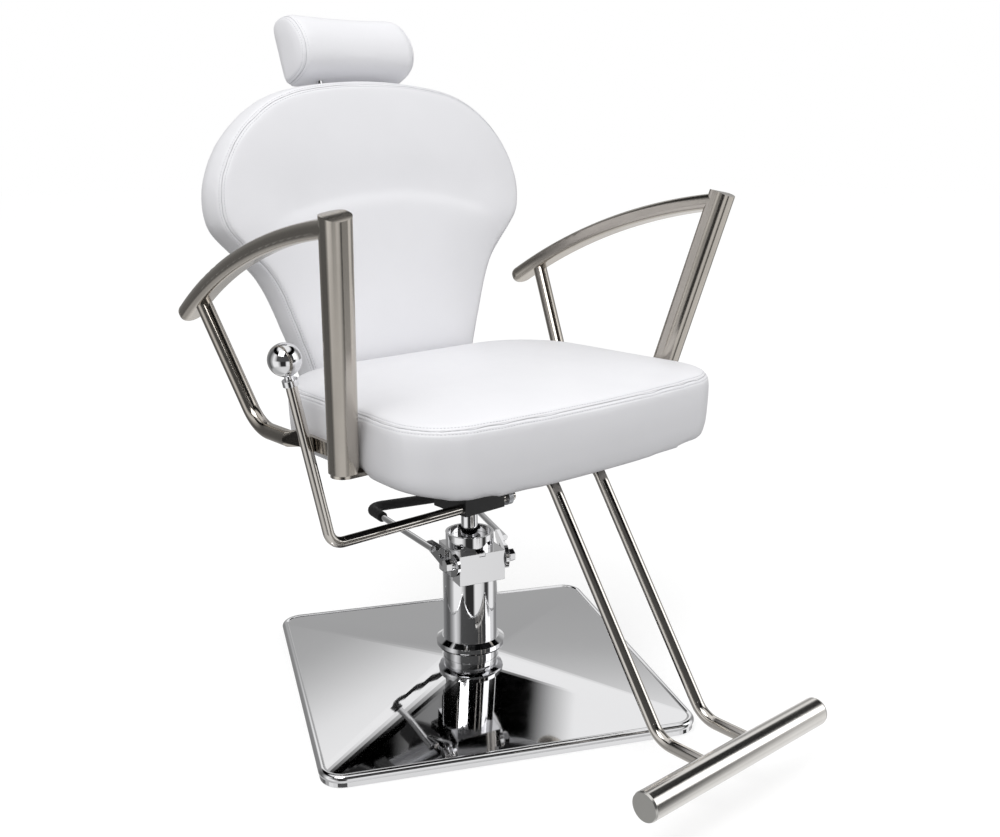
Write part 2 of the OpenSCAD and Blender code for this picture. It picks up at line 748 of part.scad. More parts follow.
module ear() difference() {
  union() {
    on_pedal_axis() bar_x(pedal_shaft_r + ear_t / 2, ear_x, shaft_half);
    on_pedal_axis() translate([shaft_half - ear_t / 2, 0, 0]) rotate([0, 0, -ear_splay])
      translate([-ear_t / 2, 0, 0]) upright() rotate([0, 0, ear_rise]) linear_extrude(ear_t)
      difference() {
        teardrop(ear_r, ear_tip_r, ear_len);
        translate([ear_len * 0.44, 0]) rounded_rect(ear_tip_r * 1.7, ear_tip_r * 0.8, ear_tip_r * 0.39);
      }
  }
  on_pedal_axis() bar_x(pedal_shaft_r, -ear_x, 2 * shaft_half);
  on_pedal_axis() translate([shaft_half, -ear_len, -ear_len])
    cube([2 * ear_t, ear_len + ear_r * 0.8, 2 * ear_len]);
  on_pedal_axis() translate([ear_x - ear_t, -ear_len, -ear_len]) cube([ear_t, 2 * ear_len, 2 * ear_len]);
  pedal_rod_solid();
}

module left_ear() color(chrome_tint) head_turned() left_side() ear();
module right_ear() color(chrome_tint) head_turned() right_side() ear();

rod_start = [ear_tip_x + ear_t / 2, ear_tip_y - ear_len / 3];
rod_points = [[-rod_start.x, rod_start.y], [-pedal_half_w, pedal_reach],
  [pedal_half_w, pedal_reach], rod_start];

module pedal_rod_solid() translate([0, 0, pedal_rod_z]) bent_rod(rod_points, pedal_bend, pedal_rod_r);

module pedal_rod() color(chrome_tint) head_turned() pedal_rod_solid();

sleeve_dir = (rod_points[0] - rod_points[1]) / norm(rod_points[0] - rod_points[1]);
sleeve_end = rod_points[1] + sleeve_dir * (2 * pedal_bend + sleeve_side);
sleeve_points = [sleeve_end, rod_points[1], rod_points[2], [-sleeve_end.x, sleeve_end.y]];

module pedal_sleeve() color(rubber_tint) head_turned() translate([0, 0, pedal_rod_z]) difference() {
  bent_rod(sleeve_points, pedal_bend, sleeve_r);
  bent_rod(rod_points, pedal_bend, pedal_rod_r);
}

module pump_plunger() color(steel_tint) head_turned() translate([0, plunger_y, plunger_top - plunger_len])
  cylinder(r = plunger_r, h = plunger_len);

module ram() color(chrome_tint) {
  translate([0, 0, piston_z + piston_h]) cylinder(r = ram_r, h = ram_top - piston_z - piston_h);
  translate([0, 0, ram_top - over]) cylinder(r = spigot_r, h = spigot_len + over);
}

module piston() color(steel_tint) translate([0, 0, piston_z]) cylinder(r = piston_r, h = piston_h);

module swivel_hub() color(black_tint) difference() {
  translate([-hub_side / 2, -hub_side / 2, hub_z]) cube([hub_side, hub_side, hub_h]);
  translate([0, 0, hub_z - over]) cylinder(r = spigot_r + fit_gap, h = spigot_len + 2 * over);
  on_lever_axis() bar_x(lever_rod_r + fit_gap, -hub_side, hub_side);
}

module mounting_plate() color(black_tint)
  translate([rail_t - rail_x + hair, -plate_len / 2, plate_z])
    cube([2 * (rail_x - rail_t - hair), plate_len, plate_t]);

module frame_rail() color(black_tint) difference() {
  translate([rail_x - rail_flange, -rail_front, rail_z]) cube([rail_flange, rail_front + rail_back, rail_h]);
  translate([rail_x - rail_flange - rail_t, -rail_front - over, rail_z + rail_t])
    cube([rail_flange, rail_front + rail_back + 2 * over, rail_h - 2 * rail_t]);
  translate([0, hinge_y, hinge_z]) bar_x(hinge_r + fit_gap, 0, 2 * rail_x);
  for (y = frame_screw_y) translate([rail_x - rail_flange / 2, y, board_z - 2 * rail_t])
    cylinder(r = screw_r + hair, h = 3 * rail_t);
}

module left_frame_rail() frame_rail();
module right_frame_rail() right_side() frame_rail();

// Half of the seat's outline, from the middle of its front to the middle of its back
seat_rear_w = seat_half_w * seat_rear_share;
seat_side_steps = 5;
seat_half = concat(
  [for (share = [0, 0.4, 0.75]) [share * (seat_half_w - seat_front_r),
                                  -seat_front - seat_bow * (1 - pow(share, 2))]],
  arc([seat_half_w - seat_front_r, seat_front_r - seat_front], seat_front_r, -quarter_turn, 0, 6),
  [for (i = [1:seat_side_steps - 1]) let (share = i / seat_side_steps)
    [seat_half_w * (1 - share) + seat_rear_w * share,
     (seat_front_r - seat_front) * (1 - share) + (seat_back - seat_back_r) * share]],
  arc([seat_rear_w - seat_back_r, seat_back - seat_back_r], seat_back_r, 0, quarter_turn, 7),
  [[(seat_rear_w - seat_back_r) / 2, seat_back], [0, seat_back]]);
seat_rest = [for (i = [len(seat_half) - 2:-1:1]) [-seat_half[i].x, seat_half[i].y]];
seat_outline = concat(seat_half, seat_rest);
seat_centre = [0, (seat_back - seat_front) / 2];
seat_seam_z = board_z + seat_seam_h;

function seat_skirt(y) = let (share = min(1, (y + seat_front + seat_bow) / seat_front_r))
  board_top - seat_skirt_back - (seat_skirt_front - seat_skirt_back) * pow(1 - share, 2);
function seat_ring(inset, z) = [for (p = seat_outline)
  let (q = drawn_in(p, inset, seat_centre)) [q.x, q.y, z]];
function seat_low_ring(inset, rise) = [for (p = seat_outline)
  let (q = drawn_in(p, inset, seat_centre)) [q.x, q.y, seat_skirt(q.y) + rise]];
function seat_crown_ring(share) = [for (p = seat_outline)
  let (q = seat_centre + (drawn_in(p, seam_depth, seat_centre) - seat_centre) * share)
  [q.x, q.y, seat_seam_z + seat_crown * crown_rise(share)]];

module seat_cushion() color(cover_white) difference() {
  band = seat_seam_h - board_t;
  loft([seat_centre.x, seat_centre.y, board_top],
    concat([seat_ring(seat_board_inset - soft_gap - over, board_top),
            seat_low_ring(seat_board_inset * 0.8, over),
            seat_low_ring(seat_board_inset * 0.44, 0),
            seat_low_ring(seat_board_inset * 0.2, 2 * over),
            seat_ring(seat_board_inset * 0.06, board_top + band * 0.08),
            seat_ring(over, board_top + band * 0.35),
            seat_ring(0, board_top + band * 0.62),
            seat_ring(over / 2, board_top + band * 0.88),
            seat_ring(seam_depth, seat_seam_z)],
           [for (share = crown_shares) seat_crown_ring(share)]),
    [seat_centre.x, seat_centre.y, seat_seam_z + seat_crown]);
  for (side = [0, 1]) mirror([side, 0, 0])
    translate([strap_in, -post_foot_y - strap_w / 2 - soft_gap, board_z - strap_t])
      cube([seat_half_w, strap_w + 2 * soft_gap, board_t + strap_t + soft_gap]);
}

module seat_board() color(wood_tint) difference() {
  translate([0, 0, board_z]) linear_extrude(board_t)
    polygon([for (p = seat_outline) drawn_in(p, seat_board_inset, seat_centre)]);
  for (side = [0, 1]) mirror([side, 0, 0])
    translate([strap_in - hair, -post_foot_y - strap_w / 2 - hair, strap_top - strap_t])
      cube([seat_half_w, strap_w + 2 * hair, 2 * strap_t]);
  for (side = [-1, 1], y = frame_screw_y)
    translate([side * (rail_x - rail_flange / 2), y, board_z - over])
      cylinder(r = screw_r + hair, h = screw_bite + 2 * over);
  for (y = clamp_screw_y)
    translate([0, y, board_z - over]) cylinder(r = screw_r + hair, h = screw_bite + 2 * over);
  for (side = [-1, 1], x = strap_screw_x)
    translate([side * x, -post_foot_y, board_z - over]) cylinder(r = screw_r + hair, h = board_t);
}

frame_screw_y = [-rail_front + rail_flange, 0, rail_back - rail_flange];

module frame_screws() color(steel_tint) {
  for (side = [-1, 1], y = frame_screw_y)
    translate([side * (rail_x - rail_flange / 2), y, board_z - rail_t]) screw(screw_bite + rail_t);
  for (y = clamp_screw_y)
    translate([0, y, board_z - 2 * foot_tube_r - strap_t]) screw(screw_bite + 2 * foot_tube_r + strap_t);
}

// A drawing in the arm's plane: x is Y, y is the height along the plane, z is outward
module in_arm() translate([arm_x, 0, 0]) rotate([0, arm_tilt, 0]) upright() children();

module arm_section(thick, edge, grow) rounded_rect(thick + 2 * grow, arm_w + 2 * grow, edge + grow);

// The rail's oval tube, swept along its arc from one angle after the tip by another
module rail_sweep(start, sweep, grow) {
  translate([rail_centre.x, rail_centre.y, 0])
    rotate([0, 0, quarter_turn - rail_chord_turn - rail_angle + start])
    rotate_extrude(angle = sweep, $fn = 180) translate([rail_r, 0]) arm_section(arm_t, arm_edge_r, grow);
}

module rail_arc(grow) rail_sweep(0, 2 * rail_angle, grow);

module rail_tip(grow) {
  translate([rail_tip_y, rail_tip_t, 0]) rotate([0, 0, -rail_chord_turn - rail_angle])
    rotate([quarter_turn, 0, 0]) rotate([0, 0, -quarter_turn]) rotate_extrude(angle = half_turn)
    intersection() {
      rotate([0, 0, quarter_turn]) arm_section(arm_t, arm_edge_r, grow);
      translate([0, -arm_t]) square([arm_w, 2 * arm_t]);
    }
}

module post_body(grow) {
  length = (post_top_t - post_foot_t) / cos(post_lean);
  dome_r = 2 * arm_w;
  translate([-post_foot_y, post_foot_t, 0]) rotate([0, 0, post_lean]) intersection() {
    translate([0, -arm_t, 0]) rotate([-quarter_turn, 0, 0]) linear_extrude(length + 2 * arm_t)
      arm_section(post_t, post_edge_r, grow);
    union() {
      translate([0, length - dome_r, -arm_w]) cylinder(r = dome_r + grow, h = dome_r);
      translate([-arm_w, -arm_t, -arm_w]) cube([dome_r, length + arm_t - dome_r / 3, dome_r]);
    }
  }
}

// The post is a tube with a solid foot that takes its screw
module arm_post() color(nickel_tint) difference() {
  in_arm() post_body(0);
  intersection() {
    in_arm() post_body(-arm_wall);
    translate([0, -seat_front, strap_top + 2 * screw_bite]) cube([2 * arm_x, seat_front, 2 * post_top_t]);
  }
  translate([0, -seat_front, strap_top - seat_front]) cube([2 * arm_x, seat_front, seat_front]);
  translate([post_foot_x, -post_foot_y, strap_top - over])
    cylinder(r = screw_r + hair, h = screw_bite + over);
}

module arm_rail() color(nickel_tint) in_arm() difference() {
  union() {
    rail_arc(0);
    rail_tip(0);
    rail_sweep(-rail_lap / 2, rail_lap, band_rise);
  }
  rail_arc(-arm_wall);
  post_body(0);
}

strut_points = [[strut_top_y, strut_top_t], [strut_bend_y, strut_low_t],
  [strut_flat_y + strut_r, strut_low_t]];
strut_up = (strut_points[0] - strut_points[1]) / norm(strut_points[0] - strut_points[1]);

// The strut's foot is pressed flat and runs on, inside the lever, to the post
module arm_strut() color(nickel_tint) in_arm() difference() {
  union() {
    bent_rod(strut_points, strut_bend, strut_r);
    hull() {
      translate([strut_points[2].x, strut_low_t, 0]) bar_x(strut_r, 0, hair, $fn = hull_fn);
      translate([strut_flat_y, strut_low_t, -flat_w]) cube([hair, 2 * strut_r, eye_t], center = true);
    }
    hull() {
      translate([strut_flat_y, strut_low_t, -flat_w]) cube([hair, 2 * strut_r, eye_t], center = true);
      translate([-post_foot_y, strut_low_t, -flat_w]) cube([hair, flat_h, eye_t], center = true);
    }
  }
  bent_rod([strut_points[0] + strut_up * 2 * strut_r, strut_points[1], strut_points[2]],
    strut_bend, strut_r - strut_wall);
  rail_arc(0);
  rail_tip(0);
  post_body(0);
}

post_foot_x = arm_x + strap_top * tan(arm_tilt);

strap_screw_x = [strap_in + strap_w / 4];

module arm_strap() color(nickel_tint) difference() {
  translate([strap_in, -post_foot_y - strap_w / 2, strap_top - strap_t]) linear_extrude(strap_t) {
    square([post_foot_x - strap_in, strap_w]);
    translate([post_foot_x - strap_in, strap_w / 2]) circle(strap_w / 2);
  }
  for (x = concat(strap_screw_x, [post_foot_x])) translate([x, -post_foot_y, strap_top - 2 * strap_t])
    cylinder(r = screw_r + hair, h = 3 * strap_t);
}

module left_arm_rail() left_side() arm_rail();
module left_arm_post() left_side() arm_post();
module left_arm_strut() left_side() arm_strut();
module left_arm_strap() left_side() arm_strap();
module right_arm_rail() right_side() arm_rail();
module right_arm_post() right_side() arm_post();
module right_arm_strut() right_side() arm_strut();
module right_arm_strap() right_side() arm_strap();

module arm_screws() color(chrome_tint) for (side = [0, 1]) mirror([side, 0, 0]) {
  for (x = strap_screw_x) translate([x, -post_foot_y, board_z]) screw(board_t - soft_gap);
  translate([post_foot_x, -post_foot_y, strap_top - strap_t]) screw(strap_t + screw_bite - over);
}

foot_tube_points = [[-foot_up_y + foot_run, foot_top_z], [-foot_up_y, foot_top_z], [-foot_low_y, foot_z],
  [-foot_bar_y, foot_z]];

module footrest_tube() color(chrome_tint) difference() {
  translate([foot_tube_x, 0, 0]) upright() difference() {
    bent_rod(foot_tube_points, foot_bend, foot_tube_r);
    bent_rod(foot_tube_points, foot_bend, foot_tube_r - foot_tube_wall);
  }
  foot_bar_solid(foot_bar_r);
}

module foot_bar_solid(r) translate([0, -foot_bar_y, foot_z]) bar_x(r, -foot_bar_half, foot_bar_half);

module left_footrest_tube() left_side() footrest_tube();
module right_footrest_tube() right_side() footrest_tube();

module footrest_bar() color(chrome_tint) difference() {
  foot_bar_solid(foot_bar_r);
  translate([0, -foot_bar_y, foot_z])
    bar_x(foot_bar_r - foot_bar_wall, -foot_bar_half - over, foot_bar_half + over);
}

module footrest_end_discs() color(chrome_tint) for (side = [0, 1]) mirror([side, 0, 0])
  translate([foot_bar_half, -foot_bar_y, foot_z]) {
    bar_x(foot_bar_r - foot_bar_wall - hair, -foot_disc_t, 0);
    rotate([0, quarter_turn, 0]) cylinder(r1 = foot_bar_r, r2 = foot_bar_r - over, h = foot_disc_t);
  }

clamp_len = 26;
clamp_y = [-foot_up_y + foot_run - clamp_len, -foot_up_y + foot_bend];
clamp_screw_y = [for (y = clamp_y) y + clamp_len / 2];
clamp_half = foot_tube_x + foot_tube_r + strap_t;

module footrest_clamps() color(black_tint) for (y = clamp_y) difference() {
  translate([-clamp_half, y, board_z - 2 * foot_tube_r - strap_t])
    cube([2 * clamp_half, clamp_len, 2 * foot_tube_r + strap_t]);
  for (side = [-1, 1]) translate([side * foot_tube_x, 0, foot_top_z]) {
    bar_y(foot_tube_r + hair, y - over, y + clamp_len + over);
    translate([-foot_tube_r - hair, y - over, 0])
      cube([2 * (foot_tube_r + hair), clamp_len + 2 * over, 2 * foot_tube_r]);
  }
  translate([0, y + clamp_len / 2, board_z - 4 * foot_tube_r])
    cylinder(r = screw_r + hair, h = 4 * foot_tube_r);
}

cradle_w = 2 * (rail_x - rail_flange - lock_x - pass_gap);

module lock_cylinder() color(black_tint) translate([lock_x, 0, lock_z]) difference() {
  union() {
    bar_y(lock_r, lock_front, lock_front + lock_len);
    translate([-cradle_w / 2, lock_front, 0]) cube([cradle_w, lock_len, plate_z - lock_z]);
  }
  bar_y(release_r + fit_gap, lock_front - over, lock_front + lock_len / 4);
  bar_y(lock_rod_r + fit_gap, lock_front + lock_len / 4, lock_front + lock_len + over);
}

lever_turn = [-sin(lever_lean), cos(lever_lean)];
lever_end = [-lever_out, 0] + lever_turn * (lever_len - ball_r - ball_neck);
lever_shaft_end = lock_x + lock_r;

module on_lever_axis() translate([0, -lever_axis_y, lever_z]) children();

module lever_rod() color(chrome_tint) on_lever_axis() facing()
  bent_rod([[lever_shaft_end, 0], [-lever_out, 0], lever_end], lever_bend, lever_rod_r);

module lever_ball() color(chrome_tint) on_lever_axis() facing()
  translate([lever_end.x, lever_end.y, 0]) rotate([0, 0, lever_lean]) rotate([-quarter_turn, 0, 0]) {
    translate([0, 0, ball_neck + ball_r]) sphere(ball_r);
    cylinder(r = lever_rod_r - lever_rod_r / 5, h = ball_neck + ball_r / 2);
    difference() {
      translate([0, 0, -ferrule_len / 2]) cylinder(r = ferrule_r, h = ferrule_len);
      translate([0, 0, -ferrule_len]) cylinder(r = lever_rod_r, h = ferrule_len);
    }
  }

module release_cam() color(steel_tint) on_lever_axis() translate([lock_x, 0, 0]) difference() {
  union() {
    bar_x(lever_rod_r + release_tip_r, -release_tip_r, release_tip_r);
    translate([0, 0, release_reach]) bar_x(release_tip_r, -release_tip_r, release_tip_r);
    translate([-release_tip_r, -release_tip_r, 0])
      cube([2 * release_tip_r, 2 * release_tip_r, release_reach]);
  }
  bar_x(lever_rod_r, -2 * release_tip_r, 2 * release_tip_r);
}

release_start = soft_gap + release_tip_r - lever_axis_y;

module release_pin() color(steel_tint) translate([lock_x, 0, lock_z])
  bar_y(release_r, release_start, release_start + release_len);

module lock_rod() color(chrome_tint) translate([lock_x, 0, lock_z]) {
  fork_out = crank_t / 2 + slot_gap + fork_wall;
  fork_end = crank_pin_y + 2 * crank_pin_r;
  fork_bite = crank_r / cos(crank_lean) + 2 * crank_pin_r * tan(crank_lean) + slot_gap;
  fork_start = crank_pin_y - fork_bite - lock_rod_r / 2;
  bar_y(lock_rod_r, lock_rod_start, fork_start + over);
  difference() {
    translate([-fork_out, fork_start, -2 * crank_pin_r])
      cube([2 * fork_out, fork_end - fork_start, 4 * crank_pin_r]);
    translate([-crank_t / 2 - slot_gap, fork_start + lock_rod_r / 2, -3 * crank_pin_r])
      cube([crank_t + 2 * slot_gap, fork_end, 6 * crank_pin_r]);
  }
  translate([0, crank_pin_y, 0]) bar_x(crank_pin_r, -fork_out, fork_out);
}

hinge_half = bar_in + bar_t;

module hinge_shaft() color(steel_tint) translate([0, hinge_y, hinge_z])
  bar_x(hinge_r, -hinge_half, hinge_half);

module recline_crank() color(black_tint) translate([lock_x - crank_t / 2, hinge_y, hinge_z]) upright()
  rotate([0, 0, crank_lean - quarter_turn]) difference() {
    linear_extrude(crank_t) {
      circle(hinge_r + crank_r / 2);
      translate([crank_slot_mid + crank_slot_run, 0]) circle(crank_r);
      translate([0, -crank_r]) square([crank_slot_mid + crank_slot_run, 2 * crank_r]);
    }
    translate([0, 0, -over]) cylinder(r = hinge_r, h = crank_t + 2 * over);
    translate([crank_slot_mid, 0, -over]) linear_extrude(crank_t + 2 * over) {
      square([crank_slot_run, 2 * (crank_pin_r + slot_gap)], center = true);
      for (end = [-1, 1]) translate([end * crank_slot_run / 2, 0]) circle(crank_pin_r + slot_gap);
    }
  }

back_v = back_high - back_low;
back_steps = 2;
back_centre = [0, back_low + back_centre_share * back_v];
back_knots = [for (s = back_outline_shares) [s.x * back_half_w, back_low + s.y * back_v]];
back_last = len(back_knots) - 1;
back_half = flat([for (i = [0:back_last - 1]) [for (k = [0:back_steps - 1])
  spline(i == 0 ? [-back_knots[1].x, back_knots[1].y] : back_knots[i - 1], back_knots[i], back_knots[i + 1],
    i == back_last - 1 ? [-back_knots[i].x, back_knots[i].y] : back_knots[i + 2], k / back_steps)]]);
back_rest = [for (i = [len(back_half) - 1:-1:1]) [-back_half[i].x, back_half[i].y]];
back_outline = concat(back_half, [back_knots[back_last]], back_rest);

// Rings in the back's own axes: x is X, y is rearward, z is the height along the back;
// a ring is placed at a share of the depth between the tapered front and the board
function front_at(v) = back_front - v * tan(back_taper);
function back_ring(inset, share) = [for (p = back_outline)
  let (q = drawn_in(p, inset, back_centre), f = front_at(q.y))
  [q.x, f + (back_cushion_rear - f) * share, q.y]];
function flat_ring(inset, w) = [for (p = back_outline)
  let (q = drawn_in(p, inset, back_centre)) [q.x, w, q.y]];
function crease(v) = exp(-pow((v - crease_v) / crease_w, 2));
function back_crown_ring(share) = [for (p = back_outline)
  let (q = back_centre + (drawn_in(p, seam_depth, back_centre) - back_centre) * share)
  [q.x, front_at(q.y) + (crease_depth * crease(q.y) - back_crown) * crown_rise(share), q.y]];

module back_cushion() color(cover_white) in_back() difference() {
  loft([back_centre.x, back_cushion_rear, back_centre.y],
    concat([flat_ring(rear_inset, back_cushion_rear),
       back_ring(rear_inset * 0.3, 0.93),
       back_ring(over, 0.76),
       back_ring(-3 * over, 0.48),
       back_ring(0, 0.16),
       back_ring(seam_depth, 0)],
      [for (share = crown_shares) back_crown_ring(share)]),
    [back_centre.x, front_at(back_centre.y) - back_crown, back_centre.y]);
  socket_shape(soft_gap);
  post_bores(head_post_r + soft_gap);
}

module back_plate(inset, from, thick) translate([0, from + thick, 0]) rotate([quarter_turn, 0, 0])
  linear_extrude(thick) polygon([for (p = back_outline) drawn_in(p, inset, back_centre)]);

module post_bores(r) for (side = [-1, 1]) {
  low = min(socket_top - socket_len, head_post_low) - over;
  translate([side * head_post_x, head_post_w, low]) cylinder(r = r, h = socket_top + head_h - low);
}

module socket_shape(grow) for (side = [-1, 1]) {
  translate([side * head_post_x, head_post_w, socket_top - socket_len - grow])
    cylinder(r = socket_r + grow, h = socket_len + 2 * grow);
  translate([side * head_post_x - socket_r / 2 - grow, head_post_w, socket_top - socket_len - grow])
    cube([socket_r + 2 * grow, back_cushion_rear - head_post_w, socket_len + 2 * grow]);
}

module back_board() color(wood_tint) in_back() difference() {
  back_plate(back_board_inset, back_cushion_rear, back_board_t);
  bar_screw_bores();
}

module bar_screw_bores() for (side = [-1, 1], v = bar_screw_v)
  translate([side * (bar_in + bar_w / 2), 0, v])
    bar_y(screw_r + hair, bar_rear - bar_screw_len + bar_t - over, bar_rear + bar_w);

module rear_panel() color(cover_white) in_back() difference() {
  loft([back_centre.x, rear_face, back_centre.y],
    [flat_ring(rear_inset + 3 * seam_depth, rear_face),
     flat_ring(rear_inset + seam_depth, back_board_rear + rear_t * 0.85),
     flat_ring(rear_inset, back_board_rear + rear_t * 0.35),
     flat_ring(rear_inset + seam_depth, back_board_rear)],
    [back_centre.x, back_board_rear, back_centre.y]);
  bar_screw_bores();
}

bar_rear = rear_face;
bar_screw_len = bar_t + rear_t + back_board_t / 2;
bar_screw_v = [bar_high - bar_w / 2, bar_high - bar_w / 2 - 2 * bar_w];

// Side view of a back bar in the back's own axes: a leg from the hinge, a leg up the rear
module back_bar() color(black_tint) in_back() {
  elbow = [bar_rear + bar_w / 2, back_low - bar_w / 3];
  difference() {
    union() {
      translate([bar_in, 0, 0]) upright() linear_extrude(bar_t) {
        rotate([0, 0, atan2(elbow.y, elbow.x)]) {
          circle(bar_w / 2);
          translate([0, -bar_w / 2]) square([norm(elbow), bar_w]);
        }
        translate(elbow) circle(bar_w / 2);
        translate([bar_rear, elbow.y]) square([bar_w, bar_w]);
      }
      translate([bar_in, bar_rear, elbow.y]) cube([bar_w, bar_t, bar_high - elbow.y]);
    }
    bar_x(hinge_r, 0, 2 * rail_x);
    for (v = bar_screw_v) translate([bar_in + bar_w / 2, 0, v])
      bar_y(screw_r + hair, bar_rear - over, bar_rear + bar_w);
  }
}

module left_back_bar() left_side() back_bar();
module right_back_bar() right_side() back_bar();

module bar_screws() color(steel_tint) in_back() for (side = [0, 1], v = bar_screw_v) mirror([side, 0, 0])
  translate([bar_in + bar_w / 2, bar_rear + bar_t, v]) rotate([quarter_turn, 0, 0])
    screw(bar_screw_len);

module headrest_sockets() color(chrome_tint) in_back() difference() {
  socket_shape(0);
  post_bores(head_post_r + fit_gap);
}

// Side outline of the headrest as shares of its depth and height, counter-clockwise:
// x is rearward from its nose, y is up from its foot
head_shares = [[0.74, 0], [0.8, 0.05], [0.9, 0.45], [0.99, 0.82], [0.97, 0.93], [0.85, 0.985], [0.61, 1],
  [0.38, 0.94], [0.2, 0.8], [0.05, 0.62], [0, 0.42], [0.05, 0.25], [0.2, 0.13], [0.42, 0.06], [0.62, 0.015]];
head_steps = 2;
head_knots = [for (s = head_shares) [s.x * head_depth, s.y * head_h]];
head_count = len(head_knots);
head_profile = flat([for (i = [0:head_count - 1]) [for (k = [0:head_steps - 1])
  spline(head_knots[(i + head_count - 1) % head_count], head_knots[i], head_knots[(i + 1) % head_count],
    head_knots[(i + 2) % head_count], k / head_steps)]]);
head_centre = [head_depth * 0.48, head_h * 0.5];

function head_ring(x, grow, share) = [for (p = head_profile)
  let (q = head_centre + (p - head_centre) * share, r = drawn_in(q, -grow, head_centre)) [x, r.x, r.y]];
function head_waisted(x) = -head_waist * cos(quarter_turn * x / head_half_w);
head_stations = [-0.93, -0.6, -0.25, 0.25, 0.6, 0.93];

module headrest_cushion() color(cover_white) in_back() translate([0, head_front, head_low]) difference() {
  loft([-head_half_w - head_cap, head_centre.x, head_centre.y],
    concat([head_ring(-head_half_w - head_cap * 0.9, 0, 0.55),
            head_ring(-head_half_w - head_cap * 0.55, 0, 0.86),
            head_ring(-head_half_w - seam_depth / 2, 0, 0.97), head_ring(-head_half_w, -seam_depth, 1)],
      [for (s = head_stations) head_ring(s * head_half_w, head_waisted(s * head_half_w), 1)],
      [head_ring(head_half_w, -seam_depth, 1), head_ring(head_half_w + seam_depth / 2, 0, 0.97),
       head_ring(head_half_w + head_cap * 0.55, 0, 0.86), head_ring(head_half_w + head_cap * 0.9, 0, 0.55)]),
    [head_half_w + head_cap, head_centre.x, head_centre.y]);
  for (side = [-1, 1]) translate([side * head_post_x, head_post_w - head_front, -head_h / 2])
    cylinder(r = head_post_r + hair, h = head_h + hair);
}

module headrest_posts() color(chrome_tint) in_back() for (side = [-1, 1])
  translate([side * head_post_x, head_post_w, head_post_low])
    cylinder(r = head_post_r, h = head_low + head_h / 2 - head_post_low);

base_cover();
ballast_plate();
floor_pads();
pump_flange();
flange_bolts();
base_collar();
pump_column();
oil_cylinder();
head_block();
head_cup();
gland_bush();
pedal_shaft();
shaft_hex_heads();
pump_cam();
left_ear();
right_ear();
pedal_rod();
pedal_sleeve();
pump_plunger();
ram();
piston();
swivel_hub();
mounting_plate();
left_frame_rail();
right_frame_rail();
seat_board();
seat_cushion();
frame_screws();
left_arm_rail();
left_arm_post();
left_arm_strut();
left_arm_strap();
right_arm_rail();
right_arm_post();
right_arm_strut();
right_arm_strap();
arm_screws();
left_footrest_tube();
right_footrest_tube();
footrest_bar();
footrest_end_discs();
footrest_clamps();
lock_cylinder();
lever_rod();
lever_ball();
release_cam();
release_pin();
lock_rod();
hinge_shaft();
left_back_bar();
right_back_bar();
recline_crank();
back_board();
back_cushion();
rear_panel();
bar_screws();
headrest_sockets();
headrest_cushion();
headrest_posts();
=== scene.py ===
"""Looks of the salon threading chair: leatherette cushions, satin nickel arms, chrome pump and base."""

import json
import math

import bmesh
import bpy
from mathutils import Matrix, Vector
from mathutils.bvhtree import BVHTree
from mathutils.kdtree import KDTree


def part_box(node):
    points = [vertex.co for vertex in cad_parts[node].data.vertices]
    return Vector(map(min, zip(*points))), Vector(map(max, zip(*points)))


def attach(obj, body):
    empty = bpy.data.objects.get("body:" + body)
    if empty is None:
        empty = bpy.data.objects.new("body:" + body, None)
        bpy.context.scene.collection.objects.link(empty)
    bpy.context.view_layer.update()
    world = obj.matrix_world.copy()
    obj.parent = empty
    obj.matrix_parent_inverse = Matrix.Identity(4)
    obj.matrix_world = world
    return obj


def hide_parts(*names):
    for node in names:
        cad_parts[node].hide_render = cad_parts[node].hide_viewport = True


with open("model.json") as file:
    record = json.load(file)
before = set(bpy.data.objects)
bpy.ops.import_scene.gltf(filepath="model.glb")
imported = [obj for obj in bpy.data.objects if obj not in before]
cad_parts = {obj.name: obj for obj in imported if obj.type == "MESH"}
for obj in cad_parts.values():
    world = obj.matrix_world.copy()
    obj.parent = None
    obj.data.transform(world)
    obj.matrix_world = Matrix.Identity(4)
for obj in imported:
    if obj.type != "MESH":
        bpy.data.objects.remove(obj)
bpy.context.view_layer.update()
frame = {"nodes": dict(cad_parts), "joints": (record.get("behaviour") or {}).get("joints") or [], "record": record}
NODES = frame["nodes"]
SLOTS = {part["node"]: part["material_slot"] for part in frame["record"]["subparts"]}
JOINTS = {joint["name"]: joint for joint in frame["joints"]}
scene = bpy.context.scene
scene.view_settings.view_transform = "Standard"

# The back leans from its hinge, and is described in axes of its own: x across, w rearward, v up
LEAN = math.radians(8.85)
HINGE = Vector(JOINTS["back_recline"]["pos_m"])


def in_back(x, w, v):
    """A point of the back's own axes in the frame of the whole chair."""
    cosine, sine = math.cos(LEAN), math.sin(LEAN)
    return Vector((x, HINGE.y + w * cosine + v * sine, HINGE.z - w * sine + v * cosine))


def to_back(point):
    """The same the other way: (x, w, v) of a point of the chair."""
    cosine, sine = math.cos(LEAN), math.sin(LEAN)
    y, z = point.y - HINGE.y, point.z - HINGE.z
    return Vector((point.x, y * cosine - z * sine, y * sine + z * cosine))


def clamp(value):
    return max(0.0, min(1.0, value))


# Materials

# What a noise texture gives lies almost all between these two
NOISE_LOW, NOISE_HIGH = 0.3, 0.7
BEVEL_SAMPLES = 4
# Brush lines: how fine they are across the tube and along it
BRUSH_ACROSS, BRUSH_ALONG = 500, 6


